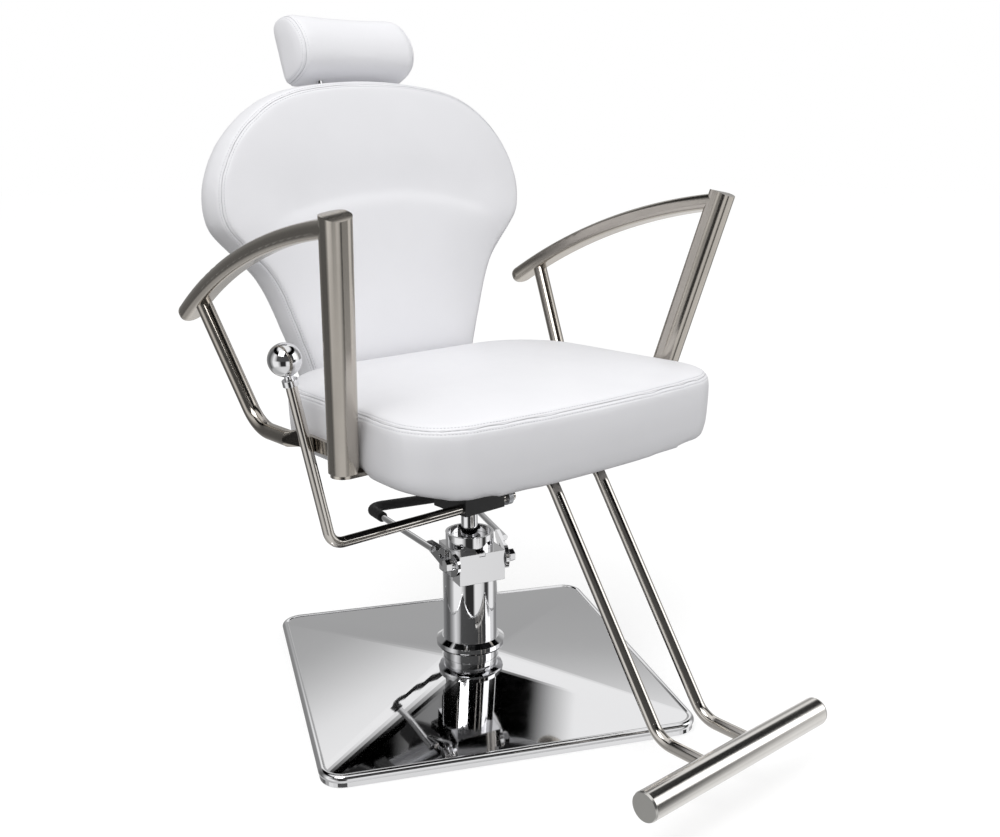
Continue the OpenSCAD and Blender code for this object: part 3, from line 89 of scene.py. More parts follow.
class Shader:
    """A principled material with a few procedural layers."""

    def __init__(self, name, color, metallic=0.0, roughness=0.5, **sockets):
        self.mat = bpy.data.materials.new(name)
        self.mat.use_nodes = True
        self.mat.diffuse_color = (*color, 1)
        self.tree = self.mat.node_tree
        self.bsdf = self.tree.nodes["Principled BSDF"]
        self.normal = None
        sockets.update(Base_Color=(*color, 1), Metallic=metallic, Roughness=roughness)
        for key, value in sockets.items():
            self.bsdf.inputs[key.replace("_", " ")].default_value = value

    def node(self, kind, **settings):
        """A new node, with its inputs and properties set by name."""
        new = self.tree.nodes.new("ShaderNode" + kind)
        for key, value in settings.items():
            if key in new.inputs:
                new.inputs[key].default_value = value
            else:
                setattr(new, key, value)
        return new

    def link(self, output, socket):
        self.tree.links.new(output, socket)

    def coords(self, scale=(1, 1, 1), rotation=(0, 0, 0)):
        place = self.node("TexCoord")
        mapping = self.node("Mapping", Scale=scale, Rotation=rotation)
        self.link(place.outputs["Object"], mapping.inputs["Vector"])
        return mapping.outputs["Vector"]

    def noise(self, vector, scale, detail=2.0, roughness=0.5):
        new = self.node("TexNoise", Scale=scale, Detail=detail, Roughness=roughness)
        self.link(vector, new.inputs["Vector"])
        return new.outputs["Fac"]

    def cells(self, vector, scale, feature="DISTANCE_TO_EDGE"):
        new = self.node("TexVoronoi", feature=feature, Scale=scale)
        self.link(vector, new.inputs["Vector"])
        return new.outputs["Distance"]

    def ramp(self, value, low=0, high=1, start=NOISE_LOW, end=NOISE_HIGH):
        """Brings start to low and end to high, and what lies between them in step."""
        new = self.node("MapRange")
        new.inputs["From Min"].default_value = start
        new.inputs["From Max"].default_value = end
        new.inputs["To Min"].default_value = low
        new.inputs["To Max"].default_value = high
        self.link(value, new.inputs["Value"])
        return new.outputs["Result"]

    def bump(self, height, strength, distance):
        new = self.node("Bump", Strength=strength, Distance=distance)
        self.link(height, new.inputs["Height"])
        if self.normal is not None:
            self.link(self.normal, new.inputs["Normal"])
        self.set_normal(new)

    def rounded(self, radius):
        """Softens the look of sharp edges."""
        self.set_normal(self.node("Bevel", samples=BEVEL_SAMPLES, Radius=radius))

    def set_normal(self, new):
        self.normal = new.outputs["Normal"]
        self.link(self.normal, self.bsdf.inputs["Normal"])

    def vary(self, value, first, second):
        """Mixes two colours. A colour Mix node has them in sockets 6 and 7, and its result in 2."""
        new = self.node("Mix", data_type="RGBA")
        new.inputs[6].default_value = (*first, 1)
        new.inputs[7].default_value = (*second, 1)
        self.link(value, new.inputs[0])
        self.link(new.outputs[2], self.bsdf.inputs["Base Color"])

    def rough(self, value, low, high):
        self.link(self.ramp(value, low, high), self.bsdf.inputs["Roughness"])


def shaded(color, share):
    return [c * share for c in color]


def leatherette(name, color):
    look = Shader(name, color, roughness=0.4, Specular_IOR_Level=0.42,
                  Sheen_Weight=0.05, Sheen_Roughness=0.4)
    place = look.coords()
    broad = look.noise(place, scale=9, detail=3)
    look.vary(look.ramp(broad), shaded(color, 0.975), color)
    look.rough(look.noise(place, scale=60, detail=4), low=0.36, high=0.46)
    look.bump(broad, strength=0.12, distance=0.004)
    look.bump(look.noise(place, scale=120, detail=3), strength=0.1, distance=0.0006)
    grain = look.ramp(look.cells(place, scale=1050), start=0.0, end=0.28)
    look.bump(grain, strength=0.10, distance=0.0003)
    return look.mat


def nickel(name, rotation=(0, 0, 0), along="z", roughness=0.2, color=(0.50, 0.465, 0.42)):
    """Satin nickel, brushed along one axis of the turned coordinates."""
    look = Shader(name, color, metallic=1.0, roughness=roughness)
    scale = [BRUSH_ALONG if axis == along else BRUSH_ACROSS for axis in "xyz"]
    lines = look.noise(look.coords(scale, rotation), scale=1.0, detail=3, roughness=0.6)
    patches = look.ramp(look.noise(look.coords(), scale=14, detail=3))
    look.vary(patches, shaded(color, 0.95), shaded(color, 1.04))
    look.rough(lines, low=roughness - 0.012, high=roughness + 0.018)
    return look.mat


def chrome(name, color=(0.79, 0.79, 0.80), roughness=0.035, wave=0.02):
    """Mirror plating, with the slight waviness of polished steel."""
    look = Shader(name, color, metallic=1.0, roughness=roughness)
    look.rounded(0.0008)
    place = look.coords()
    haze = look.noise(place, scale=35, detail=5, roughness=0.65)
    look.rough(haze, low=roughness * 0.7, high=roughness * 1.5)
    look.bump(look.noise(place, scale=7, detail=1), strength=wave, distance=0.002)
    return look.mat


def painted(name, color, roughness=0.42):
    look = Shader(name, color, roughness=roughness, Coat_Weight=0.15, Coat_Roughness=0.3)
    look.rounded(0.001)
    place = look.coords()
    look.rough(look.noise(place, scale=90, detail=4), low=roughness - 0.06, high=roughness + 0.08)
    look.bump(look.noise(place, scale=420, detail=3), strength=0.12, distance=0.0004)
    return look.mat


def rubber(name):
    look = Shader(name, (0.018, 0.018, 0.019), roughness=0.62, Specular_IOR_Level=0.35)
    place = look.coords()
    look.rough(look.noise(place, scale=160, detail=3), low=0.55, high=0.72)
    look.bump(look.noise(place, scale=700, detail=4), strength=0.25, distance=0.0004)
    return look.mat


def zinc(name):
    look = Shader(name, (0.50, 0.51, 0.54), metallic=1.0, roughness=0.38)
    look.rounded(0.0006)
    place = look.coords()
    spangle = look.ramp(look.cells(place, scale=160, feature="F1"), start=0.1, end=0.8)
    look.vary(spangle, (0.44, 0.45, 0.48), (0.56, 0.57, 0.58))
    look.rough(look.noise(place, scale=70, detail=3), low=0.32, high=0.46)
    return look.mat


def dust_cloth(name):
    """Plywood under a black dust cloth."""
    look = Shader(name, (0.012, 0.012, 0.013), roughness=0.8, Specular_IOR_Level=0.2)
    weave = look.noise(look.coords(scale=(900, 900, 900)), scale=1.0, detail=2)
    look.vary(look.ramp(weave), (0.008, 0.008, 0.009), (0.022, 0.022, 0.024))
    look.bump(weave, strength=0.3, distance=0.0004)
    look.bump(look.noise(look.coords(), scale=25, detail=2), strength=0.15, distance=0.002)
    return look.mat


def thread(name):
    look = Shader(name, (0.60, 0.60, 0.63), roughness=0.6)
    look.rough(look.noise(look.coords(), scale=900, detail=2), low=0.5, high=0.7)
    return look.mat


def tilt(about_x, about_y=0):
    """How far the brushed coordinates are turned, to run along a leaning tube."""
    return math.radians(about_x), math.radians(about_y), 0


LOOKS = {
    "leatherette": leatherette("leatherette", (0.83, 0.83, 0.855)),
    "panel": leatherette("leatherette_panel", (0.80, 0.80, 0.825)),
    "thread": thread("thread"),
    # The seam's fold is coloured dark: painted shade standing for the shadow in the groove between the sewn panels
    "seam": leatherette("seam_fold_painted_shade", (0.50, 0.50, 0.52)),
    "chrome": chrome("chrome"),
    "polished_nickel": chrome("polished_nickel", (0.63, 0.60, 0.56), roughness=0.09, wave=0.01),
    "black_steel": painted("black_steel", (0.014, 0.014, 0.015)),
    "zinc_steel": zinc("zinc_steel"),
    "rubber": rubber("rubber"),
    "wood": dust_cloth("dust_cloth"),
    "post": nickel("nickel_post", tilt(14, 9)),
    "rail": nickel("nickel_rail", tilt(20), along="y"),
    "strut": nickel("nickel_strut", tilt(28, 9), roughness=0.13),
    "strap": nickel("nickel_strap", along="x", roughness=0.22),
    "foot_bar": nickel("nickel_foot_bar", along="x", roughness=0.17, color=(0.70, 0.68, 0.65)),
    "disc": nickel("nickel_disc", along="y", roughness=0.3, color=(0.66, 0.65, 0.62)),
}
# The nodes whose look isn't that of their record's slot
OWN_LOOK = {
    "left_footrest_tube": "polished_nickel",
    "right_footrest_tube": "polished_nickel",
    "lever_rod": "polished_nickel",
    "footrest_bar": "foot_bar",
    "footrest_end_discs": "disc",
    "back_board": "panel",
}
for side in ("left", "right"):
    for part in ("rail", "post", "strut", "strap"):
        OWN_LOOK[f"{side}_arm_{part}"] = part

for name, obj in NODES.items():
    obj.data.materials.clear()
    obj.data.materials.append(LOOKS[OWN_LOOK.get(name, SLOTS[name])])


# Lines on the cushions

# How near to a seam's plane a solid's point lies to be one of the seam
ON_RING = 2e-5
FEWEST, TINY = 8, 1e-9
# Times that the points of a seam, and their normals, are averaged once they are on the cushion
SETTLE_PASSES, POINT_PASSES, NORMAL_PASSES = 3, 4, 10


def ring_of(node, test, angle):
    """The points of a node's ring that pass a test, in order round it."""
    seen = {}
    for vert in NODES[node].data.vertices:
        if test(vert.co):
            seen[tuple(round(value, 5) for value in vert.co)] = vert.co.copy()
    return sorted(seen.values(), key=angle)


def resampled(points, step):
    """A closed line with even steps."""
    number = len(points)
    lengths = [(points[(i + 1) % number] - points[i]).length for i in range(number)]
    total = sum(lengths)
    count = max(FEWEST, round(total / step))
    out, i, done = [], 0, 0.0
    for k in range(count):
        target = total * k / count
        while done + lengths[i] < target:
            done += lengths[i]
            i += 1
        share = (target - done) / max(lengths[i], TINY)
        out.append(points[i].lerp(points[(i + 1) % number], share))
    return out


def rounded_line(points, passes):
    """A closed line with each point moved towards its neighbours, some times over."""
    number = len(points)
    for _ in range(passes):
        points = [(points[i - 1] + points[i] * 2 + points[(i + 1) % number]) / 4
                  for i in range(number)]
    return points


def distance_to(points):
    """A function that says how far a place is from the nearest of the points."""
    tree = KDTree(len(points))
    for i, point in enumerate(points):
        tree.insert(point, i)
    tree.balance()
    return lambda place: tree.find(place)[2]


def surface_of(obj):
    return BVHTree.FromObject(obj, bpy.context.evaluated_depsgraph_get())


def settle(obj, line):
    """Brings a seam's line onto the cushion."""
    surface = surface_of(obj)
    return rounded_line([surface.find_nearest(point)[0] for point in line], SETTLE_PASSES)


def framed(surface, line):
    """A seam's points on its cushion, each with its tangent and a smooth normal."""
    spots = [surface.find_nearest(point) for point in line]
    points = rounded_line([spot[0] for spot in spots], POINT_PASSES)
    normals = rounded_line([spot[1] for spot in spots], NORMAL_PASSES)
    normals = [normal.normalized() for normal in normals]
    number = len(points)
    tangents = [(points[(i + 1) % number] - points[i - 1]).normalized() for i in range(number)]
    return list(zip(points, tangents, normals))


# Padding

# Voxels of the large pads and of the small ones, and how often each is smoothed
VOXEL, FINE_VOXEL = ((0.005, 0.004))
SOFTEN, HEAD_SOFTEN = ((12, 8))
PANEL_SOFTEN = 3
SAME_POINT = 1e-5
CLOTH = {
    "quality": 5,
    "mass": 0.3,
    "tension_stiffness": 18,
    "compression_stiffness": 18,
    "shear_stiffness": 8,
    "bending_stiffness": 1.5,
    "use_pressure": True,
    "vertex_group_mass": "pin",
}
CLOTH_FRAMES = 20
# The cover is held fully within the first distance of a seam, and not at all beyond the second
SEAM_HOLD, HEAD_HOLD = (0.004, 0.02), (0.003, 0.014)


def apply_modifiers(obj):
    deps = bpy.context.evaluated_depsgraph_get()
    mesh = bpy.data.meshes.new_from_object(obj.evaluated_get(deps))
    obj.modifiers.clear()
    old = obj.data
    obj.data = mesh
    bpy.data.meshes.remove(old)


def pad_from(node, name, voxel, passes):
    """A remeshed, rounded copy of a soft solid."""
    mesh = NODES[node].data.copy()
    obj = bpy.data.objects.new(name, mesh)
    scene.collection.objects.link(obj)
    shell = bmesh.new()
    shell.from_mesh(mesh)
    bmesh.ops.remove_doubles(shell, verts=shell.verts, dist=SAME_POINT)
    shell.to_mesh(mesh)
    shell.free()
    mesh.materials.clear()
    remesh = obj.modifiers.new("remesh", "REMESH")
    remesh.mode = "VOXEL"
    remesh.voxel_size = voxel
    smooth = obj.modifiers.new("smooth", "SMOOTH")
    smooth.factor = 0.5
    smooth.iterations = passes
    apply_modifiers(obj)
    return obj


def near(line, low, high):
    """A weight that is 1 within low of a line, and falls to 0 at high."""
    distance = distance_to(line)
    return lambda place: clamp((high - distance(place)) / (high - low))


def inflate(obj, pinned, pressure, cap):
    """Foam pressing on its cover: cloth under pressure, held at its seams and where it rests."""
    start = [vert.co.copy() for vert in obj.data.vertices]
    group = obj.vertex_groups.new(name="pin")
    for i, place in enumerate(start):
        weight = pinned(place)
        if weight > 0:
            group.add([i], weight, "REPLACE")
    cloth = obj.modifiers.new("cloth", "CLOTH")
    for key, value in CLOTH.items():
        setattr(cloth.settings, key, value)
    cloth.settings.uniform_pressure_force = pressure
    cloth.settings.effector_weights.gravity = 0
    cloth.collision_settings.use_collision = False
    for number in range(1, CLOTH_FRAMES + 1):
        scene.frame_set(number)
    apply_modifiers(obj)
    scene.frame_set(1)
    for vert, at in zip(obj.data.vertices, start):
        move = vert.co - at
        if move.length > cap:
            vert.co = at + move.normalized() * cap
    obj.vertex_groups.clear()
    obj.data.update()


# Sewing

# From the seam to each row of stitches
ROW, BACK_ROW = 0.0046, 0.0038
# Steps of a seam's line: as it is read from its solid, once on the cushion, and along its fold
SEAM_STEP, HEAD_STEP, SEWN_STEP, FOLD_STEP = 0.004, 0.003, 0.001, 0.003
# Half widths of the bands in which the cushion's faces are split, one inside the other
BANDS = (0.016, 0.012, 0.008)
# The seam presses in a groove, a valley under each row and a wide hollow: width and depth of each
SEWN_REACH = 0.02
GROOVE, GROOVE_DEPTH = 0.002, 0.0014
VALLEY, VALLEY_DEPTH = 0.0018, 0.35 * GROOVE_DEPTH
HOLLOW, HOLLOW_DEPTH = 0.008, 0.3 * GROOVE_DEPTH
STITCH_LENGTH, STITCH_PITCH, STITCH_RADIUS = 0.0032, 0.0045, 0.00045
STITCH_SIDES, STITCH_RINGS = 8, 5
# How far a stitch's middle stands out of the cushion, and a fold's middle lies in it, in radii
STITCH_RISE, FOLD_SINK = 0.35, 0.2
FOLD_RADIUS, FOLD_SIDES = 0.0005, 6


def refined(obj, line):
    """Splits the faces near a line, once for each band."""
    distance = distance_to(line)
    shell = bmesh.new()
    shell.from_mesh(obj.data)
    for reach in BANDS:
        edges = [edge for edge in shell.edges
                 if distance((edge.verts[0].co + edge.verts[1].co) / 2) < reach]
        bmesh.ops.subdivide_edges(shell, edges=edges, cuts=1, use_grid_fill=True, smooth=0.0)
    shell.to_mesh(obj.data)
    shell.free()


def sewn(obj, line, row):
    """Presses the seam's groove and the rows' shallow valleys into the cushion."""
    distance = distance_to(line)
    vertices = obj.data.vertices
    for vert, normal in zip(vertices, [vert.normal.copy() for vert in vertices]):
        away = distance(vert.co)
        if away < SEWN_REACH:
            dip = GROOVE_DEPTH * math.exp(-(away / GROOVE) ** 2)
            dip += VALLEY_DEPTH * math.exp(-((away - row) / VALLEY) ** 2)
            dip += HOLLOW_DEPTH * math.exp(-(away / HOLLOW) ** 2)
            vert.co -= normal * dip
    obj.data.update()


def stitch():
    """One stitch along x: its points and faces."""
    points = [(-STITCH_LENGTH / 2, 0, 0)]
    for i in range(1, STITCH_RINGS + 1):
        along = math.pi * i / (STITCH_RINGS + 1)
        for k in range(STITCH_SIDES):
            about = 2 * math.pi * k / STITCH_SIDES
            points.append((-STITCH_LENGTH / 2 * math.cos(along),
                           STITCH_RADIUS * math.sin(along) * math.cos(about),
                           STITCH_RADIUS * math.sin(along) * math.sin(about)))
    points.append((STITCH_LENGTH / 2, 0, 0))
    last = len(points) - 1
    faces = []
    for k in range(STITCH_SIDES):
        following = (k + 1) % STITCH_SIDES
        faces.append((0, 1 + following, 1 + k))
        for ring in range(1, last - STITCH_SIDES, STITCH_SIDES):
            further = ring + STITCH_SIDES
            faces.append((ring + k, ring + following, further + following, further + k))
        faces.append((last - STITCH_SIDES + k, last - STITCH_SIDES + following, last))
    return [Vector(point) for point in points], faces


def detail(name, verts, faces, look, body):
    """A fine piece of a cushion's cover."""
    mesh = bpy.data.meshes.new(name)
    mesh.from_pydata(verts, [], faces)
    out = bpy.data.objects.new(name, mesh)
    scene.collection.objects.link(out)
    mesh.materials.append(LOOKS[look])
    mesh.shade_smooth()
    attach(out, body)


def stitched(name, obj, line, row, body):
    """Two rows of lock stitches, one each side of a seam, lying on the cushion."""
    surface = surface_of(obj)
    points, point_faces = stitch()
    verts, faces = [], []
    seam = framed(surface, resampled(line, STITCH_PITCH))
    for side in (-1, 1):
        beside = [point + normal.cross(tangent) * side * row for point, tangent, normal in seam]
        for spot, tangent, normal in framed(surface, beside):
            normal = (normal - tangent * normal.dot(tangent)).normalized()
            turn = Matrix((tangent, normal.cross(tangent), normal)).transposed().to_4x4()
            place = Matrix.Translation(spot + normal * STITCH_RADIUS * STITCH_RISE) @ turn
            first = len(verts)
            verts.extend(place @ point for point in points)
            faces.extend(tuple(first + k for k in face) for face in point_faces)
    detail(name, verts, faces, "thread", body)


def painted_shade_fold(name, obj, line, body):
    """The fine fold where two panels are sewn together: a thin tube on the seam, coloured dark as painted shade of
    the seam's groove.
    """
    seam = framed(surface_of(obj), resampled(line, FOLD_STEP))
    verts, faces = [], []
    for i, (point, tangent, normal) in enumerate(seam):
        side = normal.cross(tangent).normalized()
        here, there = i * FOLD_SIDES, (i + 1) % len(seam) * FOLD_SIDES
        for k in range(FOLD_SIDES):
            about = 2 * math.pi * k / FOLD_SIDES
            following = (k + 1) % FOLD_SIDES
            verts.append(point + side * FOLD_RADIUS * math.cos(about)
                         + normal * FOLD_RADIUS * (math.sin(about) - FOLD_SINK))
            faces.append((here + k, here + following, there + following, there + k))
    detail(name, verts, faces, "seam", body)


def dressed(obj, node, body, look):
    obj.data.materials.append(LOOKS[look])
    obj.data.shade_smooth()
    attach(obj, body)
    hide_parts(node)


def finish_pad(obj, node, body, seams, row=ROW):
    """Sews a cushion's seams, dresses it, and lays folds and stitches on it."""
    lines = []
    for seam in seams:
        line = resampled(settle(obj, seam), SEWN_STEP)
        refined(obj, line)
        sewn(obj, line, row)
        lines.append(line)
    dressed(obj, node, body, "leatherette")
    for k, line in enumerate(lines):
        painted_shade_fold(f"{obj.name}_seam_{k}", obj, line, body)
        stitched(f"{obj.name}_stitches_{k}", obj, line, row, body)


# Seat

BOARD_LOW, BOARD_HIGH = (corner.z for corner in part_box("seat_board"))
# The seam's points are put in order round this one, and lie at this height
SEAT_MID = Vector((0, -0.06, 0.49))
SEAT_SEAM = BOARD_LOW + 0.092
# Below this the cushion rests on its board
SEAT_REST = BOARD_HIGH + 0.015


def seat_pad():
    seam = ring_of("seat_cushion", lambda point: abs(point.z - SEAT_SEAM) < ON_RING,
                   lambda point: math.atan2(point.y - SEAT_MID.y, point.x))
    seam = rounded_line(resampled(seam, SEAM_STEP), passes=12)
    pad = pad_from("seat_cushion", "seat_pad", VOXEL, SOFTEN)
    hold = near(seam, *SEAM_HOLD)
    inflate(pad, lambda point: max(hold(point), 1.0 if point.z < SEAT_REST else 0.0),
            pressure=4.0, cap=0.006)
    finish_pad(pad, "seat_cushion", "seat", [seam])


# Back

# The plane of the front seam: w where it meets the hinge's height, and how it tapers up the back
FRONT, TAPER = 0.0399, math.radians(3.15)
# Half the way up the back's cushion, which starts 94 mm above the hinge and is 467 mm high
BACK_MID = 0.094 + 0.467 * 0.5
# Rearward of this the back rests on its board
BACK_REST = 0.07
REARWARD = in_back(0, 1, 0) - in_back(0, 0, 0)
UPWARD = in_back(0, 0, 1) - in_back(0, 0, 0)
# The crease at the waist: its height in the middle, its drop to the sides, and its depth
CREASE, CREASE_DROP, CREASE_DEPTH = 0.400, 0.85, 0.004
# It is soft above and sharper below, and fades towards the flanks and the rear
CREASE_ABOVE, CREASE_BELOW = 0.05, 0.013
CREASE_HALF, CREASE_END = 0.215, 0.05
CREASE_REAR, CREASE_REAR_END = 0.02, 0.015
# The top of the back is drawn up a little under the headrest
TOP_RISE, TOP_START, TOP_SPAN = 0.003, 0.45, 0.1


def off_front(point):
    """How far a point lies from the plane of the front seam."""
    _, w, v = to_back(point)
    return w - (FRONT - v * math.tan(TAPER))


def creased(pad):
    for vert in pad.data.vertices:
        x, w, v = to_back(vert.co)
        above = v - (CREASE - CREASE_DROP * x ** 2)
        fade = clamp((CREASE_HALF - abs(x)) / CREASE_END)
        fade *= clamp((CREASE_REAR - w) / CREASE_REAR_END)
        width = CREASE_ABOVE if above > 0 else CREASE_BELOW
        vert.co += REARWARD * CREASE_DEPTH * fade * math.exp(-(above / width) ** 2)
        vert.co += UPWARD * TOP_RISE * clamp((v - TOP_START) / TOP_SPAN)
    pad.data.update()


def back_pad():
    seam = ring_of("back_cushion", lambda point: abs(off_front(point)) < ON_RING,
                   lambda point: math.atan2(to_back(point).z - BACK_MID, point.x))
    seam = rounded_line(resampled(seam, SEAM_STEP), passes=8)
    pad = pad_from("back_cushion", "back_pad", VOXEL, SOFTEN)
    hold = near(seam, *SEAM_HOLD)
    inflate(pad,
            lambda point: max(hold(point), 1.0 if to_back(point).y > BACK_REST else 0.0),
            pressure=4.0, cap=0.006)
    creased(pad)
    finish_pad(pad, "back_cushion", "back", [seam], BACK_ROW)


def rear_cover():
    """The thin padded cover behind the back, with a rounded edge."""
    cover = pad_from("rear_panel", "rear_cover", FINE_VOXEL, PANEL_SOFTEN)
    dressed(cover, "rear_panel", "back", "panel")


# Headrest

# The seams of the two caps lie a little in from the ends
HEAD_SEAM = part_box("headrest_cushion")[1].x - 0.01
HEAD_MID = in_back(0, 0.074, 0.6195)


def head_angle(point):
    spot, middle = to_back(point), to_back(HEAD_MID)
    return math.atan2(spot.z - middle.z, spot.y - middle.y)


def headrest_pad():
    seams = []
    for side in (-1, 1):
        ring = ring_of("headrest_cushion",
                       lambda point: abs(point.x - side * HEAD_SEAM) < ON_RING, head_angle)
        seams.append(rounded_line(resampled(ring, HEAD_STEP), passes=6))
    pad = pad_from("headrest_cushion", "headrest_pad", FINE_VOXEL, HEAD_SOFTEN)
    holds = [near(seam, *HEAD_HOLD) for seam in seams]
    inflate(pad, lambda point: max(hold(point) for hold in holds), pressure=3.0, cap=0.004)
    finish_pad(pad, "headrest_cushion", "headrest", seams)


seat_pad()
back_pad()
rear_cover()
headrest_pad()


# Stage, light, camera

FLOOR_HALF, FLOOR_DROP = 14.0, 0.0004


def floor():
    """A pale floor that the metal and the cushions don't see. The studio lights them from below."""
    mesh = bpy.data.meshes.new("floor")
    corners = [(-1, -1), (1, -1), (1, 1), (-1, 1)]
    mesh.from_pydata([(x * FLOOR_HALF, y * FLOOR_HALF, -FLOOR_DROP) for x, y in corners],
                     [], [(0, 1, 2, 3)])
    obj = bpy.data.objects.new("floor", mesh)
    scene.collection.objects.link(obj)
    look = Shader("floor", (0.55, 0.55, 0.55), roughness=0.7, Specular_IOR_Level=0.0,
                  Emission_Color=(1, 1, 1, 1), Emission_Strength=0.53)
    patches = look.noise(look.coords(), scale=3, detail=2)
    look.vary(patches, (0.545, 0.545, 0.545), (0.555, 0.555, 0.555))
    mesh.materials.append(look.mat)
    obj.visible_glossy = obj.visible_diffuse = False


# What the metal mirrors of the studio's walls: degrees round from +X, and how bright it is there
PANELS = [(-180, 1.0), (-168, 1.0), (-155, 0.5), (-146, 0.03), (-116, 0.03), (-108, 0.95),
          (-85, 0.9), (-71, 0.7), (-64, 0.05), (-50, 0.05), (-40, 1.0), (-20, 1.0), (-8, 0.35),
          (10, 0.3), (30, 0.8), (40, 1.0), (46, 0.9), (52, 0.45), (58, 0.5), (66, 0.9), (80, 0.3),
          (100, 0.25), (120, 0.14), (132, 0.14), (150, 0.5), (160, 1.0), (180, 1.0)]
# The same above the horizon, and on the ground about the chair
PANELS_HIGH = [(-180, 0.6), (-170, 0.1), (-60, 0.06), (-48, 0.06), (-38, 1.0), (-20, 1.0),
               (-8, 0.35), (10, 0.3), (30, 0.8), (80, 0.3), (100, 0.25), (120, 0.14), (132, 0.14),
               (150, 0.5), (165, 1.0), (180, 0.6)]
GROUND = [(-180, 0.7), (-150, 0.8), (-90, 0.8), (-75, 0.5), (-55, 0.42), (-42, 0.6), (-25, 1.0),
          (60, 0.9), (100, 0.5), (150, 0.5), (180, 0.7)]
# How much there is of panels, ceiling and ground, by degrees above the horizon
WALL = [(-40, 0), (-30, 1), (34, 1), (38, 0)]
CEILING = [(53, 0), (62, 1)]
GROUND_RISE = [(-40, 1), (-31, 0)]
# Where the low panels give way to the high ones
HORIZON = [(-6, 0), (1, 1)]
# The hall beyond the chair, round and up
HALL_WIDTH = [(23, 0), (28, 1), (72, 1), (78, 0)]
HALL_RISE = [(2, 0), (7, 1), (56, 1), (62, 0)]
# Its light climbs along a slant: height at one azimuth, and how that changes round the wall
GLOW_AZIMUTH, SLANT = 40, 0.567
GLOW = [(5, 0.42), (19, 0.42), (21.3, 0.47), (22.7, 0.63), (24.6, 0.92), (26.5, 1.0)]
# A dark screen hangs high in it
SCREEN = [(42.9, 1.0), (44.4, 0.0), (49.2, 0.0), (50.4, 0.24), (51.8, 0.24), (53.2, 0.0),
          (74, 0.0)]
SCREEN_RISE = [(34, 0), (36.5, 1)]
# What lights the cushions: brighter the higher it comes from
SOFT = [(-90, 0.16), (-12, 0.25), (0, 0.56), (12, 0.76), (90, 0.93)]


def share_round(azimuth):
    """Degrees round as a share of the full turn, from 0 to 1."""
    return azimuth / 360 + 0.5


def around(stops):
    return [(share_round(azimuth), level) for azimuth, level in stops]


def up(stops):
    return [(0.5 + 0.5 * math.sin(math.radians(rise)), level) for rise, level in stops]


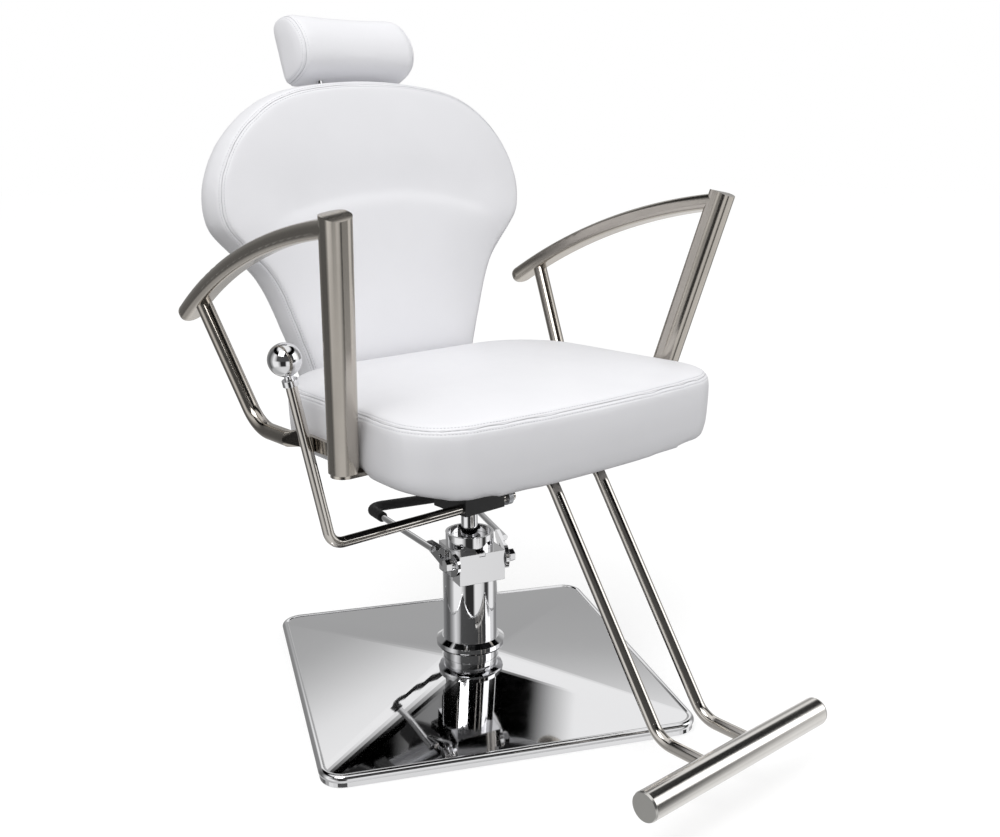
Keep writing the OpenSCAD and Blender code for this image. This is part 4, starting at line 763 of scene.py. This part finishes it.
def studio():
    """What the camera sees is plain white, and what the metal mirrors has shape."""
    world = bpy.data.worlds.new("studio")
    scene.world = world
    world.use_nodes = True
    nodes = world.node_tree.nodes
    nodes.clear()
    link = world.node_tree.links.new

    def math_node(operation, *values):
        new = nodes.new("ShaderNodeMath")
        new.operation = operation
        for socket, value in zip(new.inputs, values):
            if isinstance(value, (int, float)):
                socket.default_value = value
            else:
                link(value, socket)
        return new.outputs[0]

    def times(first, second):
        return math_node("MULTIPLY", first, second)

    def less(value):
        return math_node("SUBTRACT", 1.0, value)

    def blend(first, second, share):
        """The first where share is 0, the second where it is 1."""
        return math_node("ADD", times(first, less(share)), times(second, share))

    def ramp(value, stops):
        new = nodes.new("ShaderNodeValToRGB")
        new.color_ramp.interpolation = "LINEAR"
        marks = new.color_ramp.elements
        for k, (at, level) in enumerate(stops):
            mark = marks[k] if k < 2 else marks.new(at)
            mark.position = at
            mark.color = (level, level, level, 1)
        link(value, new.inputs[0])
        return new.outputs[0]

    def background(strength):
        new = nodes.new("ShaderNodeBackground")
        new.inputs["Color"].default_value = (1, 1, 1, 1)
        if isinstance(strength, float):
            new.inputs["Strength"].default_value = strength
        else:
            link(strength, new.inputs["Strength"])
        return new.outputs[0]

    def either(ray, otherwise, then):
        new = nodes.new("ShaderNodeMixShader")
        link(path.outputs[ray], new.inputs[0])
        link(otherwise, new.inputs[1])
        link(then, new.inputs[2])
        return new.outputs[0]

    coord = nodes.new("ShaderNodeTexCoord")
    split = nodes.new("ShaderNodeSeparateXYZ")
    link(coord.outputs["Generated"], split.inputs[0])
    x, y, z = split.outputs
    height = math_node("MULTIPLY_ADD", z, 0.5, 0.5)
    turn = math_node("MULTIPLY_ADD", math_node("ARCTAN2", y, x), 1 / (2 * math.pi), 0.5)

    panels = blend(ramp(turn, around(PANELS)), ramp(turn, around(PANELS_HIGH)),
                   ramp(height, up(HORIZON)))
    ground = times(ramp(turn, around(GROUND)), ramp(height, up(GROUND_RISE)))
    rest = math_node("ADD", ground, ramp(height, up(CEILING)))
    room = math_node("ADD", times(panels, ramp(height, up(WALL))), rest)

    slant = math_node("MULTIPLY_ADD", turn, -SLANT, height)
    glow = ramp(math_node("ADD", slant, SLANT * share_round(GLOW_AZIMUTH)), up(GLOW))
    screen = times(less(ramp(turn, around(SCREEN))), ramp(height, up(SCREEN_RISE)))
    hall = times(glow, less(screen))
    inside = times(ramp(turn, around(HALL_WIDTH)), ramp(height, up(HALL_RISE)))

    path = nodes.new("ShaderNodeLightPath")
    unseen = either("Is Glossy Ray", background(ramp(height, up(SOFT))),
                    background(blend(room, hall, inside)))
    seen = either("Is Camera Ray", unseen, background(1.0))
    out = nodes.new("ShaderNodeOutputWorld")
    link(seen, out.inputs["Surface"])


def area(name, at, target, size, power):
    light = bpy.data.lights.new(name, "AREA")
    light.shape = "RECTANGLE"
    light.size, light.size_y = size
    light.energy = power
    obj = bpy.data.objects.new(name, light)
    obj.location = at
    obj.rotation_euler = (Vector(target) - Vector(at)).to_track_quat("-Z", "Y").to_euler()
    scene.collection.objects.link(obj)


# The camera as it was fitted to the photograph: lengths in its pixels, angles in radians
PHOTO_WIDTH, FOCAL, SHIFT_X, SHIFT_Y = 1000, 1146.488, -9.545, 8.518
CAMERA_AT, CAMERA_DOWN, CAMERA_TURN = (-1.05307, -1.27825, 0.83639), 0.255862, -0.726082
SENSOR, FAR = 36, 60


def camera():
    cam = bpy.data.cameras.new("camera")
    cam.sensor_width = SENSOR
    cam.lens = FOCAL / PHOTO_WIDTH * SENSOR
    cam.shift_x = SHIFT_X / PHOTO_WIDTH
    cam.shift_y = SHIFT_Y / PHOTO_WIDTH
    cam.clip_end = FAR
    obj = bpy.data.objects.new("camera", cam)
    obj.location = CAMERA_AT
    obj.rotation_euler = (math.pi / 2 - CAMERA_DOWN, 0, CAMERA_TURN)
    scene.collection.objects.link(obj)
    scene.camera = obj


floor()
studio()
area("key", at=(-1.9, -1.1, 2.9), target=(0, 0, 0.5), size=(1.8, 1.8), power=42)
area("fill", at=(1.9, -2.2, 1.6), target=(0, 0, 0.6), size=(1.4, 1.8), power=13)
camera()
